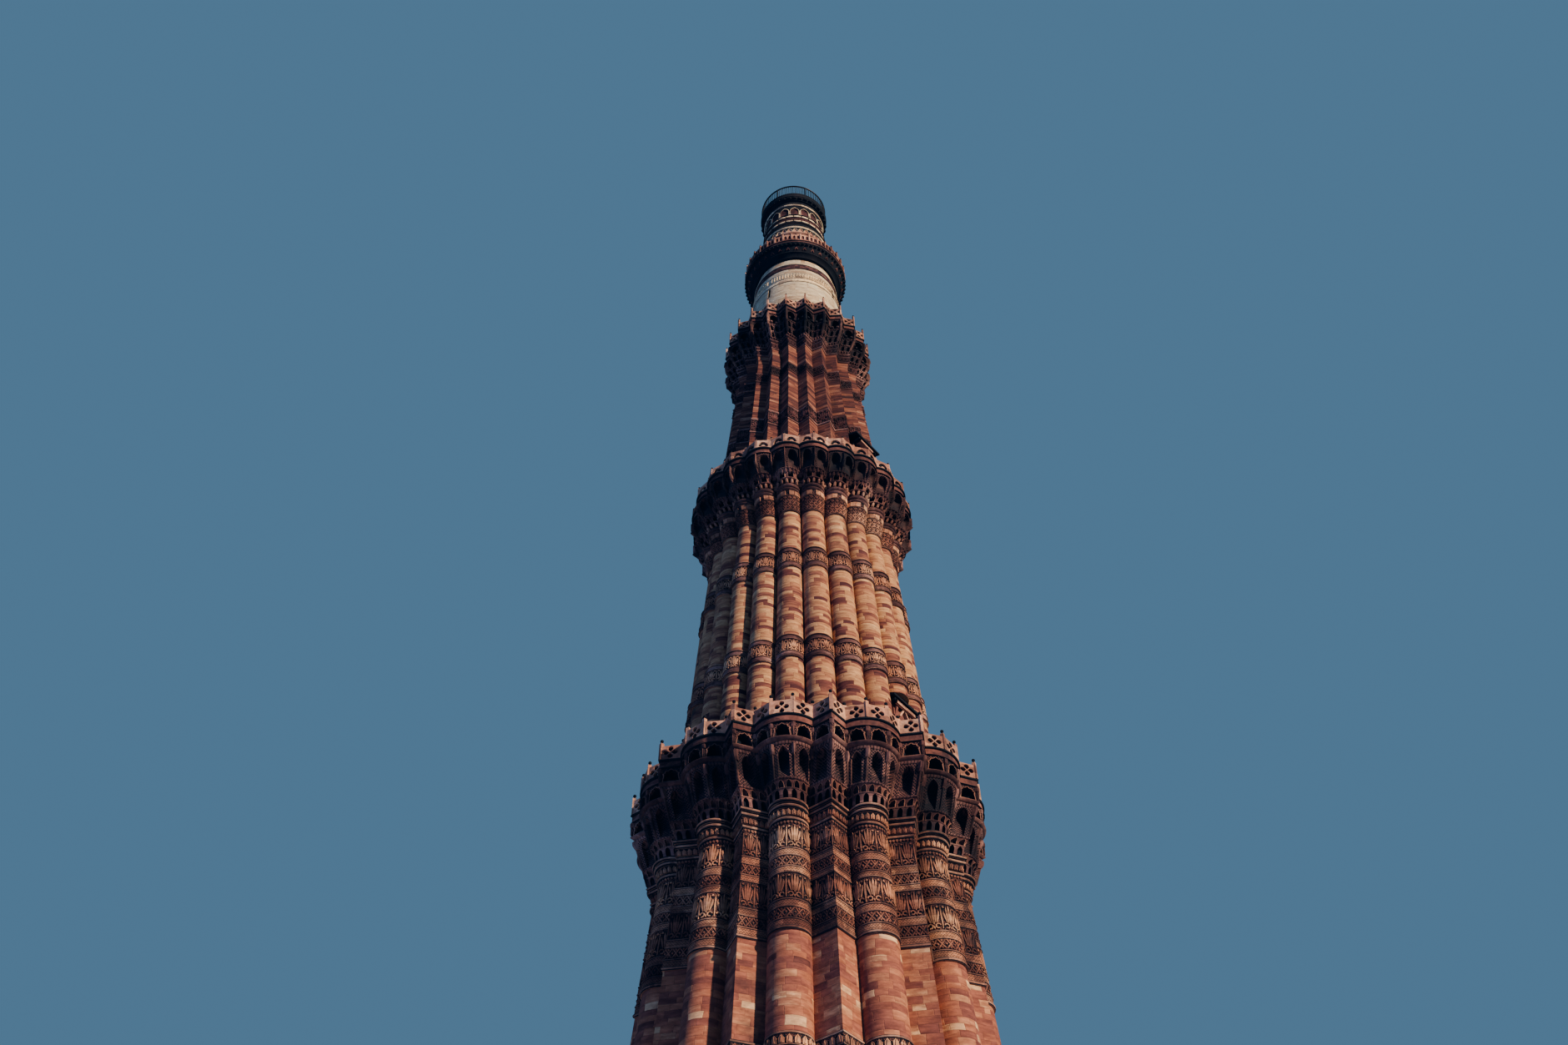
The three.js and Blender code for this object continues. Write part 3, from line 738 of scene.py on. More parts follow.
class Frieze:
    """A strip of one bay for raised ornament, which is drawn in metres from its lower corner."""

    def __init__(self, piece, surface, bay, low, height, grow, kind, stroke, pitch, clear):
        self.piece, self.surface, self.bay, self.kind = piece, surface, bay, kind
        self.stroke, self.pitch, self.clear = stroke, pitch, clear
        self.low, self.height, self.grow = low, height, grow
        self.run = bay_run(surface, bay, low, grow)

    def cells(self, pitch):
        """The middles of an even number of cells about one pitch wide, and their real width."""
        count = 2 * max(1, round(self.run[-1] / pitch / 2))
        width = self.run[-1] / count
        return [(number + 0.5) * width for number in range(count)], width

    def emboss(self, outline, proud=0.028):
        """Raises a flat shape with upright sides from an outline of (along, up) points."""
        along, up = np.array(outline).T
        shares = np.interp(along, self.run, SHARES)
        base = place(self.surface, self.bay, shares, self.low + up, self.grow)
        azimuth = azimuth_of(base.mean(0))
        if any(abs((azimuth - slit + 180) % 360 - 180) < SLIT_MARGIN for slit in self.clear):
            return
        normal = outward(self.surface, self.bay, shares.mean(), self.low)
        chart = pairs(along, self.low + up)
        self.piece.loft([base - 0.02 * normal, base + proud * normal], chart, self.kind)


def box_outline(width, low, high, middle=0.0):
    left, right = middle - width / 2, middle + width / 2
    return [(left, low), (right, low), (right, high), (left, high)]


def star(x, y, radius, points, pinch=0.6):
    """A flower or a diamond, with pinched hollows between its points."""
    turns = [math.pi * step / points for step in range(2 * points)]
    reach = [radius * (pinch if step % 2 else 1) for step in range(2 * points)]
    return [(x + r * math.sin(-t), y + r * math.cos(t)) for r, t in zip(reach, turns, strict=True)]


def horseshoe(x, y, radius, thick, steps, lean=0.0):
    """An open ring, with its gap at the foot, or lean degrees round from there."""
    turns = [math.radians(lean - 50 + 280 * step / steps) for step in range(steps + 1)]
    outer = [(x + radius * math.cos(t), y + radius * math.sin(t)) for t in turns]
    inner = radius - thick
    return outer + [(x + inner * math.cos(t), y + inner * math.sin(t)) for t in turns[::-1]]


def strap(x, y, to_x, to_y, thick):
    length = math.hypot(to_x - x, to_y - y)
    side_x, side_y = (to_y - y) / length * thick / 2, (x - to_x) / length * thick / 2
    return [(x + side_x, y + side_y), (to_x + side_x, to_y + side_y),
            (to_x - side_x, to_y - side_y), (x - side_x, y - side_y)]


def leaf(x, low, tip_x, high, width):
    """A pointed leaf, which curves from its foot to an upright tip."""
    def spot(share, side):
        bend = min(1.0, 1.3 * share)
        return x + (tip_x - x) * bend + side * width, low + (high - low) * share

    return [spot(0, -0.2), spot(0, 0.2), spot(0.45, 0.5), spot(0.78, 0.4),
            (tip_x, high), spot(0.78, -0.4), spot(0.45, -0.5)]


def leaf_frieze(frieze):
    """Tall slim leaves in fives, each group out of two scrolls, with a stem between groups."""
    tall = frieze.height
    middles, width = frieze.cells(frieze.pitch)
    for middle in middles:
        frieze.emboss(leaf(middle, 0.22 * tall, middle, 0.97 * tall, 0.15 * width), 0.036)
        frieze.emboss(star(middle, 0.1 * tall, 0.1 * width, 2))
        for side in (-width, width):
            for foot, tip, top in ((0.1, 0.17, 0.9), (0.2, 0.35, 0.74)):
                foot, tip = middle + side * foot, middle + side * tip
                frieze.emboss(leaf(foot, 0.28 * tall, tip, top * tall, 0.13 * width))
            lean = math.copysign(60, side)
            centre = middle + side * 0.24
            frieze.emboss(horseshoe(centre, 0.15 * tall, 0.19 * width, frieze.stroke, 6, lean))
            frieze.emboss(star(middle + side * 0.33, 0.88 * tall, 0.09 * width, 3))
        if middle > width:
            between = middle - 0.5 * width
            frieze.emboss(leaf(between, 0.05 * tall, between, 0.93 * tall, 0.11 * width), 0.022)


def strap_frieze(frieze):
    """Crossing straps, with a diamond in each gap."""
    tall = frieze.height
    middles, width = frieze.cells(tall * 0.7)
    for middle in middles:
        left, right = middle - width / 2 + 0.01, middle + width / 2 - 0.01
        frieze.emboss(strap(left, 0.05 * tall, right, 0.95 * tall, frieze.stroke), 0.02)
        frieze.emboss(strap(right, 0.05 * tall, left, 0.95 * tall, frieze.stroke), 0.026)
        for x, y, size in ((middle, 0.84, 0.12), (middle, 0.16, 0.12), (left, 0.5, 0.11)):
            frieze.emboss(star(x, y * tall, size * tall, 2, 0.8))


def flower_frieze(frieze):
    tall = frieze.height
    middles, width = frieze.cells(tall * 1.15)
    for middle in middles:
        frieze.emboss(star(middle, tall / 2, 0.4 * tall, 6, 0.72))
        frieze.emboss(star(middle, tall / 2, 0.14 * tall, 4, 0.9), 0.045)
        for y in (0.16, 0.84):
            frieze.emboss(star(middle - width / 2 + 0.02, y * tall, 0.12 * tall, 2, 0.8))


def bead_frieze(frieze):
    tall = frieze.height
    for middle in frieze.cells(tall * 1.1)[0]:
        frieze.emboss(star(middle, tall / 2, 0.4 * tall, 4, 0.75))


def petal_frieze(frieze):
    """A row of upright pointed petals, each with a raised rib."""
    tall = frieze.height
    middles, width = frieze.cells(0.4 * frieze.pitch)
    half, rib = 0.37 * width, 0.14 * width
    for x in middles:
        frieze.emboss([
            (x - half, 0.02 * tall), (x + half, 0.02 * tall), (x + half, 0.6 * tall),
            (x, 0.97 * tall), (x - half, 0.6 * tall),
        ], 0.03)
        frieze.emboss([(x - rib, 0.1 * tall), (x + rib, 0.1 * tall), (x, 0.8 * tall)], 0.05)


def block_frieze(frieze):
    """Broad plain blocks with dark gaps between. Each is in three parts, to follow the flute."""
    middles, width = frieze.cells(0.56)
    part = 0.27 * width
    for x in middles:
        for middle in (x - part, x, x + part):
            frieze.emboss(box_outline(part, 0.12 * frieze.height, 0.9 * frieze.height, middle), 0.05)


FRIEZES = {
    "blocks": block_frieze, "scroll": leaf_frieze, "lattice": strap_frieze,
    "rosettes": flower_frieze, "dots": bead_frieze, "petals": petal_frieze,
}


def stack(base, courses, back=-0.07, ground="ground"):
    """Rings up the outside of a sleeve of courses. A plain roll has a dark seam on both sides."""
    rings = [(base, back, "plain")]
    for height, kind, grow, bulge in courses:
        face = ground if kind in FRIEZES else kind
        for part in (0, 0.25, 0.5, 0.75, 1) if bulge else (0, 1):
            swell = grow + bulge * math.sin(math.pi * part)
            # Painted shade on a plain roll's lowest and highest quarters
            crease_shade = bulge and kind == "plain" and part in (0, 0.75)
            rings.append((base + part * height, swell, "soot" if crease_shade else face))
        rings[-1] = (base + height, grow, "plain")
        base += height
    rings.append((base, back, "plain"))
    return rings


def bar(piece, outline, near, far, kind, azimuth=DOOR_AZIMUTH):
    """A closed bar that runs out from the axis, with an outline of (along, height) points."""
    along, height = np.array(outline, float).T
    loops = [raised(plan_point(azimuth, out, along), height) for out in (near, far)]
    piece.loft(loops, [pairs(out, height) for out in (near, far)], kind, outline)


def beam(piece, outline, width, kind, middle=0.0):
    """A closed bar that runs across the doors' azimuth, with an outline of (out, height) points."""
    out, height = np.array(outline, float).T
    loops = [
        raised(plan_point(DOOR_AZIMUTH, out, middle + side * width / 2), height) for side in (1, -1)
    ]
    piece.loft(loops, [pairs(side, height) for side in (width, 0)], kind, outline)


def lathe(piece, profile, centre, kind, sides):
    """A turned shape about an upright line through a plan point, from (radius, height) pairs."""
    turn = np.linspace(0, 2 * math.pi, sides, endpoint=False)
    circle = np.stack([np.cos(turn), np.sin(turn)], -1)
    piece.loft([raised(centre + radius * circle, height) for radius, height in profile], 0, kind)


def post(piece, spot, facing, width, base, top):
    """A square post with a turned ball, as wide as the post, on a short neck."""
    half = width / 2
    square = np.array([
        spot + plan_point(facing, depth * half, along * half)
        for along, depth in ((-1, 1), (1, 1), (1, -1), (-1, -1))
    ])
    piece.loft([raised(square, base), raised(square, top)], 0, "buff")
    profile = [(0.4 * half, top), (0.4 * half, top + 1.1 * half)]
    for part in range(1, 6):
        angle = math.pi * (part / 6 - 0.5)
        profile.append((half * math.cos(angle), top + 1.9 * half + half * math.sin(angle)))
    lathe(piece, profile, spot, "soot", 8)


def panel(piece, start, end, low, high, thickness, holes, kind, outline=SQUARE, shade_sheet=None):
    """An upright slab between two plan points, with holes in shares of its width and height.

    backing is the kind of a thin sheet behind it, which makes the holes blind.
    """
    width = np.linalg.norm(end - start)
    along = (end - start) / width
    inward = thickness * np.array([-along[1], along[0]])
    loops = [np.array(loop) * (width, high - low) for loop in (outline, *holes)]
    flat = np.concatenate(loops)
    count = len(flat)
    face = start + flat[:, :1] * along
    points = [raised(plan, low + flat[:, 1]) for plan in (face, face + inward)]
    faces = []
    for a, b, c in tessellate_polygon([[Vector((*spot, 0)) for spot in loop] for loop in loops]):
        (b_x, b_y), (c_x, c_y) = flat[b] - flat[a], flat[c] - flat[a]
        if b_x * c_y < b_y * c_x:
            b, c = c, b
        faces += [(a, b, c), (count + a, count + c, count + b)]
    first = 0
    for loop in loops:
        for index in range(len(loop)):
            a, b = first + index, first + (index + 1) % len(loop)
            faces.append((a, b, count + b, count + a) if first else (a, count + a, count + b, b))
        first += len(loop)
    corners = [[(flat[i % count][0], low + flat[i % count][1]) for i in face] for face in faces]
    piece.add(points, faces, corners, kind)
    # Painted shade: a sheet close behind the holes
    if shade_sheet:
        panel(piece, start + inward, end + inward, low, high, 0.03, [], shade_sheet)


# Materials

class Value:
    """What a node of a material puts out, which reckons with other values and with numbers."""

    def __init__(self, shader, socket):
        self.shader = shader
        self.socket = socket

    def math(self, operation, *others):
        inputs = dict(enumerate((self, *others)))
        return self.shader.node("ShaderNodeMath", inputs, operation=operation)

    def __add__(self, other):
        return self.math("ADD", other)

    def __sub__(self, other):
        return self.math("SUBTRACT", other)

    def __mul__(self, other):
        return self.math("MULTIPLY", other)

    def __truediv__(self, other):
        return self.math("DIVIDE", other)

    def ease(self, low, high, start=0.0, finish=1.0):
        inputs = {0: self, 1: low, 2: high, 3: start, 4: finish}
        return self.shader.node("ShaderNodeMapRange", inputs, interpolation_type="SMOOTHSTEP")

    def away(self, period):
        """The distance of a coordinate from the middle of its repeat."""
        return ((self * (1 / period)).math("FRACT") - 0.5).math("ABSOLUTE") * period

    def ramp(self, stops):
        output = self.shader.node("ShaderNodeValToRGB", {0: self})
        ramp = output.socket.node.color_ramp
        while len(ramp.elements) < len(stops):
            ramp.elements.new(0.5)
        for element, (position, colour) in zip(ramp.elements, stops, strict=True):
            element.position = position
            element.color = (*colour, 1)
        return output


class Shader:
    """A material in the making. Each call adds a node and returns its output."""

    def __init__(self, name, roughness=0.85):
        self.material = bpy.data.materials.new(name)
        self.material.use_nodes = True
        self.tree = self.material.node_tree
        self.surface = self.tree.nodes["Principled BSDF"]
        self.surface.inputs["Roughness"].default_value = roughness
        self.surface.inputs["Specular IOR Level"].default_value = 0.25
        coordinates = self.tree.nodes.new("ShaderNodeTexCoord")
        self.place = Value(self, coordinates.outputs["Object"])

    def node(self, kind, inputs, output=0, **settings):
        made = self.tree.nodes.new(kind)
        for key, value in settings.items():
            setattr(made, key, value)
        for key, value in inputs.items():
            self.plug(made.inputs[key], value)
        return Value(self, made.outputs[output])

    def plug(self, socket, value):
        if isinstance(value, Value):
            self.tree.links.new(value.socket, socket)
        else:
            socket.default_value = value

    def chart(self):
        """The two coordinates of the piece's own map."""
        pair = self.node("ShaderNodeUVMap", {}, uv_map="Unrolled")
        across = self.node("ShaderNodeSeparateXYZ", {0: pair})
        return across, Value(self, across.socket.node.outputs[1])

    def noise(self, scale, detail=4.0, stretch=(1, 1, 1), roughness=0.55, shift=(0, 0, 0)):
        spot = self.node("ShaderNodeMapping", {0: self.place, 1: shift, 3: stretch})
        inputs = {"Vector": spot, "Scale": scale, "Detail": detail, "Roughness": roughness}
        return self.node("ShaderNodeTexNoise", inputs)

    def random(self, x, y=0.0):
        spot = self.node("ShaderNodeCombineXYZ", {0: x, 1: y})
        return self.node("ShaderNodeTexWhiteNoise", {0: spot}, noise_dimensions="3D")

    def stones(self, scale, stretch):
        """A chance colour for each stone, where the joints don't show."""
        spot = self.node("ShaderNodeMapping", {0: self.place, 3: stretch})
        inputs = {"Vector": spot, "Scale": scale, "Randomness": 0.7}
        return self.node("ShaderNodeTexVoronoi", inputs, 1, distance="CHEBYCHEV")

    def mix(self, factor, first, second, blend="MIX"):
        settings = {"data_type": "RGBA", "blend_type": blend}
        colours = [(*c, 1) if isinstance(c, tuple) else c for c in (first, second)]
        return self.node("ShaderNodeMix", {0: factor, 6: colours[0], 7: colours[1]}, 2, **settings)

    def tint(self, colour, by, factor=1.0):
        return self.mix(factor, colour, by, "MULTIPLY")

    def grime(self, colour, amount, scale=0.5):
        """Dark weathering that runs down the stone in uneven streaks."""
        streaks = self.noise(scale, 5.0, (1, 1, 0.22)) * 0.65 + self.noise(scale * 4) * 0.35
        mask = streaks.ease(0.62 - 0.3 * amount, 0.74 - 0.2 * amount)
        return self.mix(mask * 0.75, colour, SOOT)

    def finish(self, colour, height=None, depth=0.01):
        colour = self.tint(colour, (STONE_SHADE,) * 3)
        self.plug(self.surface.inputs["Base Color"], colour)
        if height is not None:
            inputs = {"Height": height, "Distance": depth * SCALE, "Strength": 0.8}
            self.plug(self.surface.inputs["Normal"], self.node("ShaderNodeBump", inputs))
        return self.material


def masonry(name, stops, course, stone, soot=0.2, rough=0.85, redden=None, bedded=0.3, veins=5.0,
            streaked=0.0):
    """Coursed stones, each with a colour of its own from the stops.

    course and stone are a stone's height and width. bedded is the share of its colour that a
    whole course has in common. veins draws out the streaks in the stone, and streaked is how
    much they take the place of its own colour. The stones get redder down between the two
    heights of redden.
    """
    shader = Shader(name, rough)
    u, v = shader.chart()
    # The edges of the stones are worn, and so not quite straight
    worn = shader.noise(3.2, 3.0) - 0.5
    u, v = worn * 0.13 + u, worn * 0.05 + v
    # Courses rise by uneven steps, as their heights differ
    lift = (v * 2.1).math("SINE") * (0.25 * course) + (v * 5.3).math("SINE") * (0.14 * course)
    rise = (v + lift) / course
    row = rise.math("FLOOR")
    chance = shader.random(row)
    width = shader.random(row, 5.0) * (0.6 * stone) + 0.75 * stone
    run = u / width + chance * 9.0
    tint = shader.random(row, run.math("FLOOR"))
    gap_side = run.math("PINGPONG", 0.5) * width
    flush = (rise.math("PINGPONG", 0.5) * course).math("MINIMUM", gap_side).ease(0.0, JOINT)

    blend = tint * (1 - bedded) + chance * bedded
    blend = (shader.noise(0.55) - 0.5) * 0.8 + blend
    # Each stone is cut from another part of the bed
    shift = tint * 9.0
    bed = shader.noise(2.2, 4.0, (1, 1, veins), 0.6, shift)
    if streaked:
        blend = blend * (1 - 0.45 * streaked) + 0.225 * streaked
        blend = (bed - 0.5) * (1.8 * streaked) + blend
    if redden:
        blend = blend - v.ease(*redden, 0.3, 0.0)
    grain = shader.noise(9.0, 6.0, (1, 1, 2.2), 0.65, shift)
    shade = grain.ramp(((0.3, (0.72, 0.70, 0.69)), (0.7, (1.15, 1.15, 1.15))))
    colour = shader.tint(blend.ramp(stops), shade)
    bands = bed.ramp(((0.35, (0.68, 0.58, 0.56)), (0.62, (1.14, 1.12, 1.08))))
    colour = shader.tint(colour, bands, 0.8)
    colour = shader.mix(flush, shader.mix(0.11, colour, SOOT), colour)
    colour = shader.grime(colour, soot)
    height = flush * 0.5 + (grain + shader.noise(30.0)) * 0.35 + tint * 0.35
    return shader.finish(colour, height, 0.014)


def carved(name, pattern, stops=CARVED_STOPS, soot=0.55):
    """Carved stone, with a relief that pattern draws from the piece's map."""
    shader = Shader(name, 0.9)
    relief = pattern(shader, *shader.chart()) if pattern else None
    colour = shader.noise(1.1, 5.0, (1, 1, 0.8)).ramp(stops)
    grain = shader.noise(14.0, 5.0)
    shade = grain.ramp(((0.3, (0.65, 0.62, 0.6)), (0.7, (1.25, 1.22, 1.2))))
    colour = shader.tint(colour, shade)
    colour = shader.tint(colour, shader.stones(3.0, (1, 1, 1.7)).ramp(TONES))
    colour = shader.grime(colour, soot, 0.9)
    height = grain * 0.25
    if relief is not None:
        # Painted shade: the pattern's grooves take the recess colour
        colour = shader.mix(relief, PAINTED_RECESS_SHADE, colour)
        height = height + relief
    # Painted shade: the deeper a point lies in a niche, the more it takes the recess colour
    deep = shader.node("ShaderNodeAttribute", {}, 2, attribute_name="recess_shade_depth")
    colour = shader.mix(deep * 0.6, colour, PAINTED_RECESS_SHADE)
    return shader.finish(colour, height, 0.045)


def scale_pattern(shader, u, v):
    """A fine net of small diamonds, as on the backs of the niches."""
    return (u + v).away(0.1).math("MINIMUM", (u - v).away(0.1)).ease(0.024, 0.012)


def vine_pattern(shader, u, v):
    """Small curls with a bud in each, linked by a waving stem."""
    sway = shader.noise(2.6, 2.0) - 0.5
    u, v = sway * 0.35 + u, sway * 0.25 + v
    shift = (v / 0.15).math("FLOOR") * 0.5
    across = (shift * 0.17 + u).away(0.17).math("POWER", 2.0)
    radius = (across + v.away(0.15).math("POWER", 2.0)).math("POWER", 0.5)
    curl = (radius - 0.052).math("ABSOLUTE").ease(0.02, 0.01)
    bud = radius.ease(0.028, 0.018)
    stem = (v + (u * 23.0).math("SINE") * 0.04).away(0.3).ease(0.024, 0.014)
    return curl.math("MAXIMUM", bud).math("MAXIMUM", stem)


def zigzag_pattern(shader, u, v):
    """A flat strip with a cut zigzag along it."""
    return (v - u.away(0.09) * 1.3).away(0.095).ease(0.004, 0.014, 0.3, 1.0)


def bead_pattern(shader, u, v):
    """Short upright lobes, side by side."""
    return u.away(0.11).ease(0.053, 0.040)


def metal():
    shader = Shader("iron", 0.55)
    shader.surface.inputs["Metallic"].default_value = 0.7
    worn = shader.noise(12.0, 5.0)
    return shader.finish(worn.ramp(IRON_STOPS), worn, 0.004)


MATERIALS = {
    "red_masonry": masonry("red_masonry", RED_STONES, 0.23, 0.5, streaked=0.2),
    "gold_masonry": masonry(
        "gold_masonry", GOLD_STONES, 0.19, 0.55, redden=(29.5, 34.5), bedded=0.2, veins=9.0,
        streaked=0.25,
    ),
    "dark_masonry": masonry(
        "dark_masonry", DARK_STONES, 0.2, 1.3, 0.3, bedded=0.5, veins=12.0, streaked=0.6
    ),
    "buff_masonry": masonry("buff_masonry", BUFF_STOPS, 0.3, 0.7),
    "marble": masonry("marble", MARBLE_STOPS, 0.42, 1.1, 0.05, 0.45),
    "plain": carved("weathered_stone", None, soot=0.3),
    "relief": carved("relief_stone", None, RELIEF_STOPS, 0.25),
    "dark_relief": carved("stain_and_shade_relief_stone", None, STAIN_AND_SHADE_RELIEF_STOPS, 0.3),
    "ground": carved("relief_ground", vine_pattern, GROUND_STOPS, 0.3),
    "dark_ground": carved("dark_relief_ground", vine_pattern, DARK_GROUND_STOPS, 0.4),
    "strip": carved("zigzag_stone", zigzag_pattern, STRIP_STOPS, 0.3),
    "beaded": carved("beaded_stone", bead_pattern, DULL_STOPS, 0.4),
    "dark_tiles": masonry("dark_tiles", TILE_STONES, 0.17, 0.24, 0.3),
    "net": carved("netted_niche", scale_pattern, NET_STOPS),
    "dull": carved("dull_stone", None, DULL_STOPS, 0.35),
    "corbel": carved("corbel_stone", None, CORBEL_STOPS, 0.5),
    "buff": carved("parapet_stone", None, BUFF_STOPS, 0.25),
    "rose": carved("rose_stone", None, ROSE_STOPS, 0.3),
    "pale": carved("pale_marble", None, MARBLE_STOPS, 0.1),
    "soot": carved("soot_and_painted_shade_stone", None, SOOT_AND_SHADE_STOPS, 0.8),
    "maroon": carved("dark_red_stone", None, MAROON_STOPS, 0.35),
    "base_masonry": masonry("base_masonry", RED_STONES, 0.24, 0.7, 0.35),
    "paving": masonry("paving", DARK_STONES, 0.55, 0.8, 0.25),
    "iron": metal(),
}


# Storeys

def cutter(name, outline, near, azimuth=DOOR_AZIMUTH):
    """A solid to cut an opening with, from near the axis out past the walls."""
    piece = Piece(name)
    bar(piece, outline, near, REACH, "plain", azimuth)
    return piece.object()


def door_cutter(name, storey):
    width, head = storey["door"]
    return cutter(name, box_outline(width, storey["profile"][0][0] - 1, head), 0)


def pointed(width, low, springing, apex):
    """The outline of an opening with a pointed arch, anticlockwise from outside."""
    half = width / 2
    arch = arch_outline(Niche(half, 0, 0, 1, 0, 0), 10)[0][1:-1][::-1]
    rise = apex - springing
    return [(-half, low), (half, low), *((x, springing + y * rise) for x, y in arch)]


def walls(name, shaft, storey, kind, cutters):
    """The shell of a storey, in its three walls."""
    low, high = shaft.heights[0], shaft.heights[-1]
    outside = [(height, 0.0) for height in shaft.heights]
    rings = rings_of(kind, *outside, (high, None), (low, None))
    slot = {"marble": "marble", "buff_masonry": "buff_stone"}.get(kind, "sandstone")
    for side, span in WALL_SEAMS.items():
        piece = Piece(f"{name}_masonry_{side}")
        skin(piece, shaft, rings, span=span, bore=storey["bore"])
        nodes = [f"{name}_wall_{side}"]
        if side == "right":
            nodes.append(f"{name}_wall_over_door")
        piece.build(slot, *nodes, cutters=cutters)


def sleeve(name, surface, base, courses, slot="carved_stone", cutters=(), relief="relief",
           ground="ground", stroke=0.035, pitch=0.4, clear=()):
    """A sleeve of carved courses round a storey, and the ornament raised on it.

    stroke and pitch are the width of its lines and of its repeat. Nothing is raised at the
    azimuths in clear, where a slit window cuts through the sleeve.
    """
    piece = Piece(name)
    skin(piece, surface, stack(base, courses, ground=ground))
    piece.build(slot, cutters=cutters)
    ornament = Piece(f"{name}_relief")
    for height, kind, grow, _ in courses:
        for bay in range(surface.bays if kind in FRIEZES else 0):
            # Leaves on the angular flutes take the darker copy: partly stain, partly painted shade
            bright = kind in LEAVES and surface.form(bay) != "angular"
            tone = relief if bright or relief != "relief" else "dark_relief"
            FRIEZES[kind](Frieze(
                ornament, surface, bay, base, height, grow, tone, stroke, pitch, clear
            ))
        base += height
    if ornament.points:
        ornament.build(slot)


shaft_1 = Shaft(STOREY_1["profile"], ("round", "angular"))
shaft_2 = Shaft(STOREY_2["profile"], ("round",))
shaft_3 = Shaft(STOREY_3["profile"], ("angular",))
drum_4 = Shaft(STOREY_4["profile"])
drum_5 = Shaft(STOREY_5["profile"])

cutters_1 = (
    cutter("niche", box_outline(PORTAL["width"], -1, PORTAL["top"]), PORTAL["back"]),
    cutter("entrance", pointed(ENTRANCE["width"], -1, ENTRANCE["springing"], ENTRANCE["apex"]), 0),
)
cutters_2, cutters_3 = (
    (
        cutter("recess_shade_depth", box_outline(case["width"], 0, case["top"]), case["face"]),
        door_cutter("door", storey),
    )
    for storey, case in ((STOREY_2, DOOR_CASE_2), (STOREY_3, DOOR_CASE_3))
)
slits = tuple(
    cutter(f"slit_{number}", box_outline(SLIT_WIDTH, sill, head), 0.5, azimuth)
    for number, (azimuth, sill, head) in enumerate(SLITS)
)
cutters_4 = (door_cutter("door_4", STOREY_4), *slits)
cutters_5 = (door_cutter("door_5", STOREY_5),)

walls("storey_1", shaft_1, STOREY_1, "red_masonry", cutters_1)
for number, base in enumerate(BANDS_1, 1):
    sleeve(f"storey_1_carved_band_{number}", shaft_1, base, BAND_1, stroke=0.045, pitch=0.55)
sleeve("storey_1_carved_zone", shaft_1, 22.23, ZONE_1)
sleeve("storey_1_capital_mouldings", shaft_1, 25.97, CAPITAL_1)

walls("storey_2", shaft_2, STOREY_2, "gold_masonry", cutters_2)
for number, base in enumerate(BANDS_2, 1):
    sleeve(f"storey_2_carved_band_{number}", shaft_2, base, BAND_2, stroke=0.045)
sleeve("storey_2_capital_mouldings", shaft_2, 41.81, CAPITAL_2)

walls("storey_3", shaft_3, STOREY_3, "dark_masonry", cutters_3)
dark = {"relief": "maroon", "ground": "dark_ground", "stroke": 0.04}
sleeve("storey_3_carved_band_1", shaft_3, 48.40, BAND_3, **dark)
sleeve("storey_3_carved_band_2", shaft_3, 52.57, THIN_BAND_3, **dark)
sleeve("storey_3_capital_mouldings", shaft_3, 54.78, CAPITAL_3, **dark)

walls("storey_4", drum_4, STOREY_4, "marble", cutters_4)
sleeve(
    "storey_4_petal_band", drum_4, 61.69, BAND_4, "marble", slits, "pale", "marble",
    clear=[azimuth for azimuth, _, _ in SLITS],
)
sleeve("storey_4_red_band", drum_4, 63.10, COLLAR_4, "sandstone")

walls("storey_5", drum_5, STOREY_5, "buff_masonry", cutters_5)


# Balconies

def rib(piece, surface, bay, share, levels, width, kind):
    """A bracket that stands proud of a surface, from (height, proud) pairs."""
    loops = []
    for height, proud in levels:
        spot = surface.plan(bay, share, height)
        along = np.array((-1, -1, 0, 1, 1)) * width / 2
        out = np.linalg.norm(spot) + np.array((-0.06, proud * 0.6, proud, proud * 0.6, -0.06))
        loops.append(raised(plan_point(azimuth_of(spot), out, along), height))
    loops = np.array(loops)
    chart = pairs(0.1 * np.arange(5 * len(levels)).reshape(-1, 5), loops[..., 2])
    piece.loft(loops, chart, kind)


def ledge(piece, surface, low, high, proud, kind):
    """A moulding round a surface between two tiers."""
    curve = [
        (low + (high - low) * part, proud * (0.55 + 0.45 * math.sin(math.pi * part)))
        for part in (0, 0.25, 0.5, 0.75, 1)
    ]
    skin(piece, surface, rings_of(kind, (low, -0.05), *curve, (high, -0.05)))


def petal_hole(angle, reach, size, steps=8):
    """A leaf-shaped hole on one side of a panel's middle."""
    outline = [(0.04 * math.cos(angle), 0.04 * math.sin(angle))]
    for step in range(steps + 1):
        turn = angle + math.pi * (-0.6 + 1.2 * step / steps)
        outline.append((
            reach * math.cos(angle) + size * math.cos(turn),
            reach * math.sin(angle) + size * math.sin(turn),
        ))
    # Panels are wider than they are high, and their flowers as wide as high
    return [(0.5 + 0.78 * x, 0.5 + y) for x, y in outline]


def lunette_hole(steps=10):
    """A half ring, which leaves a small half-round stone on the panel's foot."""
    turns = [math.pi * step / steps for step in range(steps + 1)]
    outer = [(0.5 + 0.33 * math.cos(turn), 0.2 + 0.56 * math.sin(turn)) for turn in turns]
    inner = [(0.5 + 0.14 * math.cos(turn), 0.2 + 0.2 * math.sin(turn)) for turn in turns[::-1]]
    return outer + inner


HOLES = {
    "quatrefoil": [petal_hole(quarter * math.pi / 2, 0.265, 0.165) for quarter in range(4)],
    "lunette": [lunette_hole()],
    "grating": [
        [(left, 0.14), (left + 0.3, 0.14), (left + 0.3, 0.7), (left + 0.15, 0.86), (left, 0.7)]
        for left in (0.12, 0.58)
    ],
    "fretwork": [
        [(0.5 + 0.1 * x, 0.5 + 0.1 * y), (0.5 + 0.4 * x + 0.25 * y, 0.5 + 0.4 * y - 0.25 * x),
         (0.5 + 0.4 * x - 0.25 * y, 0.5 + 0.4 * y + 0.25 * x)]
        for x, y in ((0, 1), (1, 0), (0, -1), (-1, 0))
    ],
}


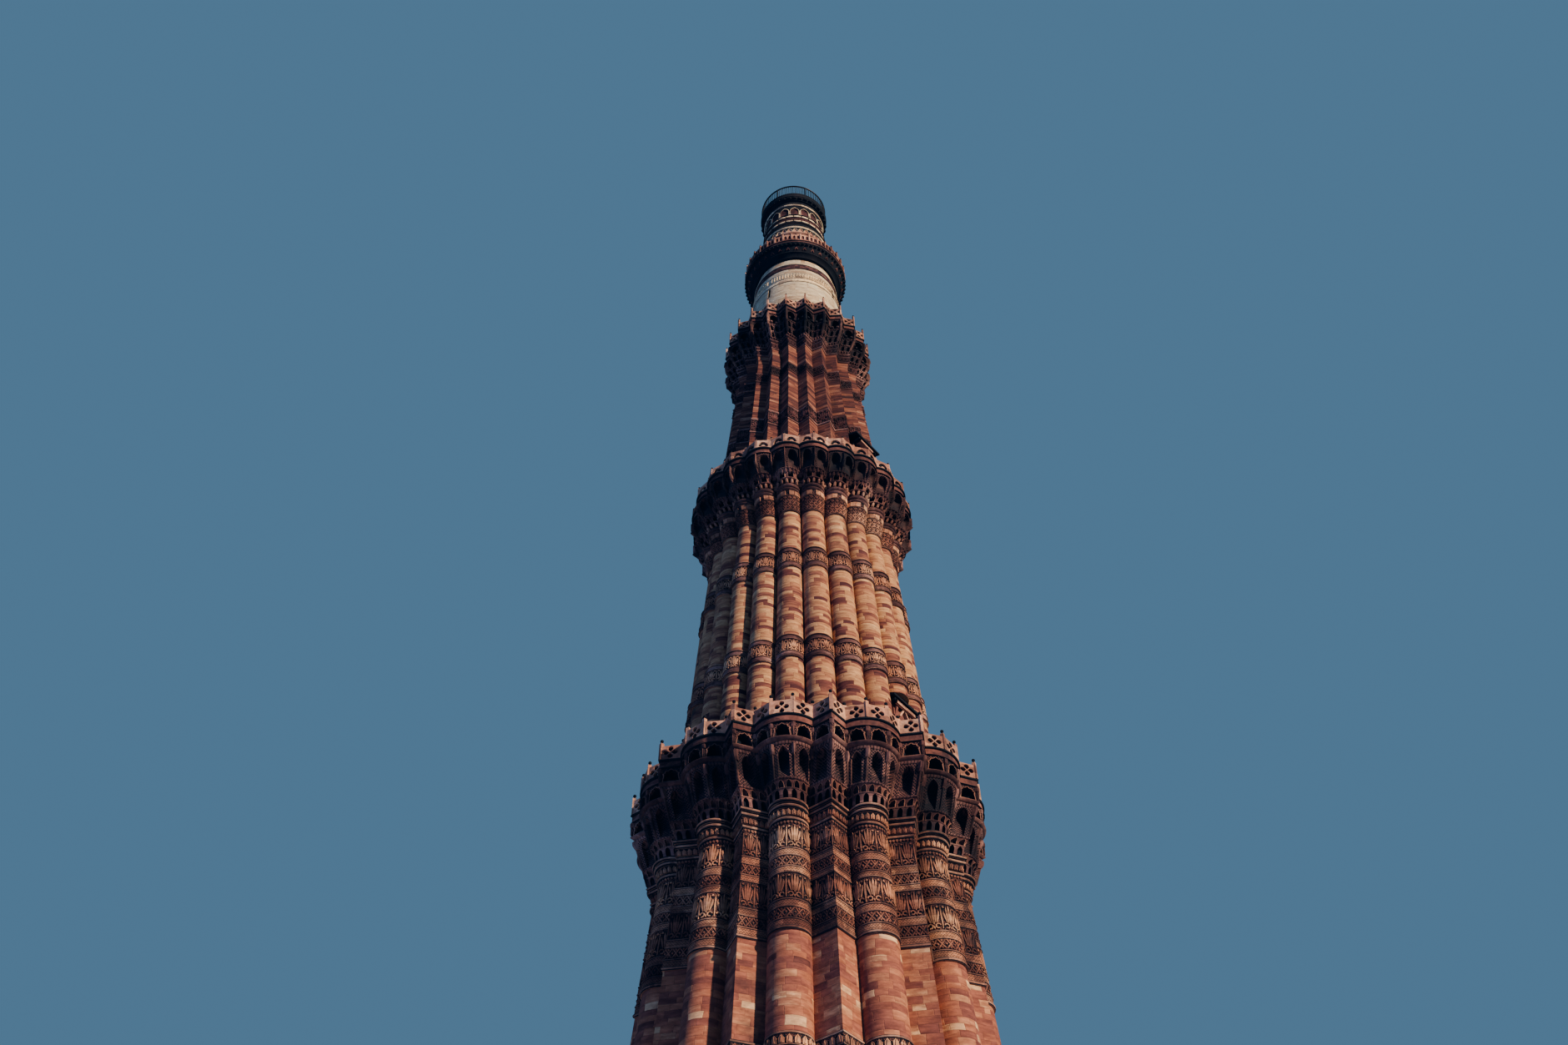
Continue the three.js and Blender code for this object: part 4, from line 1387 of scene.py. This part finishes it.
def corbels(name, surface, bore, balcony):
    """The stone behind the niches, and the tiers, ledges, ribs and bosses in front of it."""
    piece = Piece(name)
    low, high, back = surface.heights[0], balcony["floor"] - SLAB_THICKNESS, balcony["back"]
    skin(piece, surface, rings_of(
        "corbel", (low, 0.0), (low + 0.1, -back), (high, -back), (high, 0.0), (high, None),
        (low, None),
    ), bore=bore)
    for row in balcony["tiers"]:
        tier(piece, surface, *row)
    for row in balcony["ledges"]:
        ledge(piece, surface, *row)
    for shares, *shape in balcony["ribs"]:
        for bay in range(surface.bays):
            for share in own(shares, bay):
                rib(piece, surface, bay, share, *shape)
    for row in balcony["bosses"]:
        bosses(piece, surface, *row)
    piece.build("carved_stone", name, sharp=40)


def slab(name, surface, balcony, node):
    """A balcony's floor, with its fascia and the thin cornice that the parapet stands on."""
    floor, cornice = balcony["floor"], balcony["cornice"]
    low = floor - SLAB_THICKNESS
    piece = Piece(name)
    # Its near-black underside is partly soot and partly painted shade under the slab
    skin(piece, surface, [
        (low, 0.0, "soot"), (low + 0.03, 0.05, "soot"), (low + 0.07, 0.0, "rose"),
        *rings_of("soot", (floor - 0.03, 0.0), (floor, 0.06), (cornice - 0.02, 0.06), (cornice, 0.04)),
        *rings_of("paving", (cornice, -0.2), (floor, -0.2)),
    ], loop=False)
    piece.build("sandstone", node)


def parapet(name, surface, balcony):
    """Pierced panels between ball-topped posts, at shares of each form of bay."""
    piece = Piece(name)
    floor, base = balcony["floor"], balcony["cornice"]
    width = balcony["post_width"]
    for bay in range(surface.bays):
        shares = own(balcony["posts"], bay)
        for share, after in zip(shares, (*shares[1:], 1.0), strict=True):
            spot = surface.plan(bay, share, floor, PARAPET_OUT - width / 2)
            facing = azimuth_of(spot)
            if share:
                # Posts between two cusps are turned a little against the slope of the edge
                facing += facing - azimuth_of(outward(surface, bay, share, floor))
            post(piece, spot, facing, width, base, balcony["post_tops"][1 if share else 0])
            start, end = (surface.plan(bay, at, floor, PARAPET_OUT) for at in (share, after))
            # Each panel has a near-black sheet behind it, painted shade in its holes
            panel(
                piece, start, end, base, balcony["panel_top"], balcony["thickness"],
                HOLES[balcony["holes"]], "buff", shade_sheet="soot",
            )
    piece.build("buff_stone", f"{name}_right", f"{name}_left", sharp=30)


for number, (shaft, storey, balcony) in enumerate(
    ((shaft_1, STOREY_1, BALCONY_1), (shaft_2, STOREY_2, BALCONY_2), (shaft_3, STOREY_3, BALCONY_3)),
    1,
):
    edge = Corbels(shaft, balcony)
    corbels(f"balcony_{number}_corbels", edge, storey["bore"], balcony)
    slab(f"balcony_{number}_slab", edge, balcony, f"balcony_{number}_floor")
    parapet(f"balcony_{number}_parapet", edge, balcony)

# The fourth balcony, a dark spreading bowl with a low pierced parapet. Its near-black stone
# is partly soot and partly painted shade under the bowl
bowl = Shaft(((64.16, 2.09), (64.4, 2.36), (64.94, 2.68), (65.2, 2.7)), bays=36)
piece = Piece("balcony_4_corbels")
skin(piece, bowl, rings_of(
    "soot", (64.16, 0.0), (64.22, 0.05), (64.3, 0.0), (64.4, 0.0), (64.44, 0.05), (64.5, 0.0),
    (64.84, 0.0), (64.94, 0.0), (64.94, None), (64.16, None),
), bore=STOREY_4["bore"])
bosses(piece, bowl, 64.57, 64.70, (1,), CHEVRON, ((1, -0.03), (0.96, 0.04)), "rose")
bosses(piece, bowl, 64.8, 64.9, (2,), BLOCK, BRACKET_LEVELS, "soot")
piece.build("carved_stone", "balcony_4_corbels")
piece = Piece("balcony_4_rim")
skin(piece, bowl, [
    (64.94, -0.05, "soot"), (64.94, 0.02, "soot"), (65.0, 0.03, "rose"), (65.04, 0.03, "soot"),
    (65.06, 0.0, "soot"), (65.14, 0.0, "soot"), (65.16, 0.03, "rose"), (65.22, 0.03, "soot"),
    *rings_of("paving", (65.25, 0.02), (65.25, -0.15), (65.2, -0.15)),
], loop=False)
piece.build("sandstone", "balcony_4_floor")
piece = Piece("balcony_4_parapet")
for bay in range(bowl.bays):
    start, end = (bowl.plan(bay, share, 65.2) for share in (0, 1))
    post(piece, start, azimuth_of(start), 0.08, 65.2, 65.86)
    # Each panel has a maroon sheet behind it, painted shade in its holes
    panel(piece, start, end, 65.25, 65.78, 0.05, HOLES["grating"], "buff", shade_sheet="maroon")
piece.build("buff_stone", "balcony_4_parapet_right", "balcony_4_parapet_left", sharp=30)

# The top storey's bands of panels, leaves and blind arches
PROUD_5 = 0.06
grown = [(height, radius + PROUD_5) for height, radius in STOREY_5["profile"]]
arcade, leaves, arches = (Shaft(grown, bays=bays) for bays in (36, 24, 18))
piece = Piece("storey_5_panels")
tier(piece, arcade, 65.7, 66.6, (1,), Niche(0.72, 0.08, 0.7, 0.94, 0.04, 1.0), PANELLED, 5)
tier(piece, arcade, 66.7, 67.55, (1,), Niche(0.72, 0.08, 0.6, 0.94, 0.045, 1.0), PANELLED, 5)
tier(piece, arcade, 67.68, 68.18, (1,), Niche(0.8, 0.0, 0.2, 0.78, 0.03, 1.0, 0, 0.02), FRAMED, 5)
for low, high, kind in (
    (65.62, 65.7, "buff"), (66.6, 66.7, "buff"), (67.55, 67.68, "buff"), (68.18, 68.28, "pale"),
):
    ledge(piece, arcade, low, high, 0.05, kind)
piece.build("buff_stone", cutters=cutters_5)
piece = Piece("storey_5_leaf_bands")
skin(piece, arcade, stack(68.28, LEAF_BANDS_5, back=-0.12))
bosses(piece, leaves, 68.98, 69.14, (1,), CRESCENT, LEAF_LEVELS, "pale")
bosses(piece, leaves, 69.58, 69.74, (1,), LEAF, LEAF_LEVELS, "pale")
piece.build("carved_stone")
piece = Piece("storey_5_blind_arches")
tier(piece, arches, 69.86, 70.81, (1,), Niche(0.82, 0.02, 0.5, 0.84, 0.045, 1.0, 0, 0.03), BLIND, 8)
skin(piece, arches, stack(70.81, HEAD_5, back=-0.12))
ledge(piece, arches, 69.8, 69.86, 0.04, "soot")
piece.build("marble")

# The roof: a dark spreading platform and an iron railing. The platform's near-black stone is
# partly soot and partly painted shade on its underside
lip = Shaft(((71.35, 1.66), (71.45, 1.74), (71.75, 1.86), (71.96, 1.88)), bays=36)
piece = Piece("roof_platform")
skin(piece, lip, [
    *rings_of("soot", (71.36, 0.0), (71.42, 0.04), (71.46, 0.0), (71.66, 0.0), (71.7, 0.03)),
    *rings_of("soot", (71.76, 0.0), (71.86, 0.0), (71.9, 0.02)), (71.96, 0.02, "paving"),
], loop=False)
bosses(piece, lip, 71.48, 71.64, (1,), LEAF, BRACKET_LEVELS, "soot")
piece.build("carved_stone", "roof_platform")
piece = Piece("roof_railing")
fence = Shaft(((RAIL["base"], RAIL["radius"]), (RAIL["top"], RAIL["radius"])))
for height, size in ((RAIL["top"] - 0.03, 0.04), (RAIL["base"] + 0.1, 0.02)):
    turns = [math.pi * side / 4 for side in range(8)]
    skin(piece, fence, rings_of(
        "iron", *((height - size * math.cos(turn), size * math.sin(turn)) for turn in turns)
    ))
count = RAIL["posts"] * RAIL["bars"]
for number in range(count):
    spot = plan_point(RAIL["first_post"] + number * 360 / count, RAIL["radius"])
    if number % RAIL["bars"] == 0:
        size, base, top, sides = 0.045, RAIL["base"], RAIL["top"] - 0.03, 6
    else:
        size, base, top, sides = 0.02, RAIL["base"] + 0.1, RAIL["top"] - 0.04, 5
    lathe(piece, ((size, base), (size, top)), spot, "iron", sides)
piece.build("iron", "roof_railing")


# Base

platform = Shaft(((0, PLINTH_SIDE), (PLINTH_TOP, PLINTH_SIDE)), ("flat",))
piece = Piece("plinth_stone")
skin(piece, platform, [
    (0.0, 0.0, "base_masonry"), (0.12, 0.0, "paving"), (0.15, -0.04, "base_masonry"),
    *rings_of("paving", (0.46, -0.04), (0.48, -0.01), (0.5, 0.0), (0.58, 0.0), (PLINTH_TOP, -0.02)),
], loop=False)
notch = cutter("notch", box_outline(STEPS["width"], -1, 1), STEPS["back"])
piece.build("sandstone", "plinth", cutters=(notch,))
piece = Piece("entrance_stairs")
for step in range(2):
    low = step * STEPS["rise"]
    high = low + STEPS["rise"]
    front = STEPS["front"] - step * STEPS["run"]
    for bottom, top, face in ((low, high - 0.06, front - 0.02), (high - 0.06, high, front)):
        bar(piece, box_outline(STEPS["width"], bottom, top), STEPS["back"], face, "paving")
piece.build("sandstone", "entrance_steps")


def arch_loop(extra):
    """The entrance, grown by extra at its sides and head, in shares of the portal's face."""
    outline = pointed(
        ENTRANCE["width"] + 2 * extra, PLINTH_TOP, ENTRANCE["springing"], ENTRANCE["apex"] + extra
    )
    height = PORTAL["top"] - PLINTH_TOP
    return [(x / PORTAL["width"] + 0.5, (y - PLINTH_TOP) / height) for x, y in outline]


piece = Piece("entrance_surround")
front_face = PORTAL["front"] - 0.12
for outline, front, thickness, kind in (
    (SQUARE, front_face, front_face - PORTAL["back"], "ground"),
    (arch_loop(0.1), PORTAL["front"], 0.1, "buff"),
    (arch_loop(0.24), PORTAL["front"] - 0.05, 0.1, "rose"),
):
    ends = [plan_point(DOOR_AZIMUTH, front, side * PORTAL["width"] / 2) for side in (-1, 1)]
    panel(piece, *ends, PLINTH_TOP, PORTAL["top"], thickness, [arch_loop(0)], kind, outline)
for side in (-1, 1):
    flower = star(side * 0.62, 3.62, 0.18, 8, 0.8)
    bar(piece, flower, front_face - 0.05, front_face + 0.05, "buff")
    for offset, width, front in ((1.16, 0.14, 0.0), (0.99, 0.16, -0.06)):
        outline = box_outline(width, PLINTH_TOP, PORTAL["top"], side * offset)
        bar(piece, outline, front_face - 0.05, PORTAL["front"] + front, "buff")
for low, high, front, kind in ((4.3, 4.5, 0.0, "buff"), (4.08, 4.26, -0.05, "rose")):
    outline = box_outline(PORTAL["width"] - 0.3, low, high)
    bar(piece, outline, front_face - 0.05, PORTAL["front"] + front, kind)
piece.build("carved_stone", "entrance_portal", sharp=30)

for spent in (*cutters_1, *cutters_2, *cutters_3, *cutters_4, *cutters_5, notch):
    bpy.data.objects.remove(spent)


def door_case(name, storey, case):
    """A door's pale frame, the brackets over it and their dark sloping hood."""
    piece = Piece(name)
    floor = storey["profile"][0][0]
    width, head = storey["door"]
    face, front, lintel, outer = (case[key] for key in ("face", "front", "lintel", "width"))
    reach, hood_width, edge, peak = case["hood"]
    bar(piece, box_outline(outer, head, lintel), face, front, "buff")
    bar(piece, box_outline(width + 0.12, head, head + 0.07), face, front + 0.03, "rose")
    for side in (-1, 1):
        jamb = box_outline((outer - width) / 2, floor, head, side * (outer + width) / 4)
        bar(piece, jamb, face, front, "buff")
        pilaster = box_outline(0.07, floor, lintel, side * (outer / 2 - 0.035))
        bar(piece, pilaster, front - 0.05, front + 0.03, "rose")
        arm = (
            (face, lintel - 0.2), (front, lintel - 0.2), (front + 0.02, lintel + 0.1),
            (reach - 0.12, edge + 0.05), (face, peak + 0.06),
        )
        beam(piece, arm, 0.1, "rose", side * (outer / 2 - 0.12))
        eye = horseshoe(side * (outer / 2 + 0.12), edge - 0.1, 0.09, 0.04, 8)
        bar(piece, eye, front + 0.1, reach - 0.06, "soot")
        foot, tip, thick = side * 0.3 * outer, side * 0.04, 0.04
        strut = (
            (foot - thick, lintel - 0.02), (foot + thick, lintel - 0.02),
            (tip + thick, edge - 0.15), (tip - thick, edge - 0.15),
        )
        bar(piece, strut, front - 0.02, front + 0.12, "buff")
    rail = (
        (front + 0.1, edge - 0.15), (reach - 0.08, edge - 0.15), (reach - 0.08, edge),
        (front + 0.1, edge),
    )
    beam(piece, rail, outer + 0.06, "buff")
    bar(piece, box_outline(outer, lintel, peak), face, front, "rose")
    slope = (
        (face, peak), (reach, edge), (reach, edge + 0.1), (reach - 0.04, edge + 0.12),
        (face, peak + 0.12),
    )
    beam(piece, slope, hood_width, "soot")
    ridge = (
        (face, peak + 0.12), (front - 0.1, peak + 0.12), (front - 0.1, peak + 0.2),
        (face, peak + 0.2),
    )
    beam(piece, ridge, hood_width - 0.3, "soot")
    piece.build("buff_stone", name, sharp=30)


door_case("storey_2_door_case", STOREY_2, DOOR_CASE_2)
door_case("storey_3_door_case", STOREY_3, DOOR_CASE_3)


# Stage, light and camera

mesh = bpy.data.meshes.new("floor")
rim = [(*plan_point(turn, FLOOR_RADIUS), 0) for turn in range(0, 360, 3)]
mesh.from_pydata(rim, [], [tuple(range(len(rim)))])
mesh.materials.append(Shader("studio_floor", 0.9).finish((0.8, 0.79, 0.76)))
floor = bpy.data.objects.new("studio_floor", mesh)
floor.location.z = -0.002
bpy.context.scene.collection.objects.link(floor)
floor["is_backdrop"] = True
world = bpy.data.worlds.new("studio")
world.use_nodes = True
background = world.node_tree.nodes["Background"]
background.inputs["Color"].default_value = SKY_COLOUR
background.inputs["Strength"].default_value = 1.0
bpy.context.scene.world = world

for name, (azimuth, elevation, strength, angle, colour) in SUNS.items():
    light = bpy.data.lights.new(name, "SUN")
    light.energy = strength
    light.angle = math.radians(angle)
    light.color = colour
    sun = bpy.data.objects.new(name, light)
    plan = plan_point(azimuth, math.cos(math.radians(elevation)))
    towards = Vector((*plan, math.sin(math.radians(elevation))))
    sun.rotation_euler = towards.to_track_quat("Z", "Y").to_euler()
    bpy.context.scene.collection.objects.link(sun)

camera_data = bpy.data.cameras.new("camera")
camera_data.lens = LENS
camera_data.sensor_width = 36
camera_data.clip_end = 1000
camera = bpy.data.objects.new("camera", camera_data)
stand = plan_point(PHOTO_AZIMUTH, PHOTO_DISTANCE) * SCALE
camera.matrix_world = (
    Matrix.Translation((*stand, EYE_HEIGHT * SCALE))
    @ Matrix.Rotation(math.radians(PHOTO_AZIMUTH - YAW), 4, "Z")
    @ Matrix.Rotation(math.radians(90 + PITCH), 4, "X")
    @ Matrix.Rotation(math.radians(ROLL_ANGLE), 4, "Z")
)
bpy.context.scene.collection.objects.link(camera)
bpy.context.scene.camera = camera
view = bpy.context.scene.view_settings
view.view_transform = "AgX"
view.look = "AgX - Medium High Contrast"
view.use_curve_mapping = True
view.curve_mapping.black_level = [-value for value in SHADE_LIFT]
view.curve_mapping.update()

low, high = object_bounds()
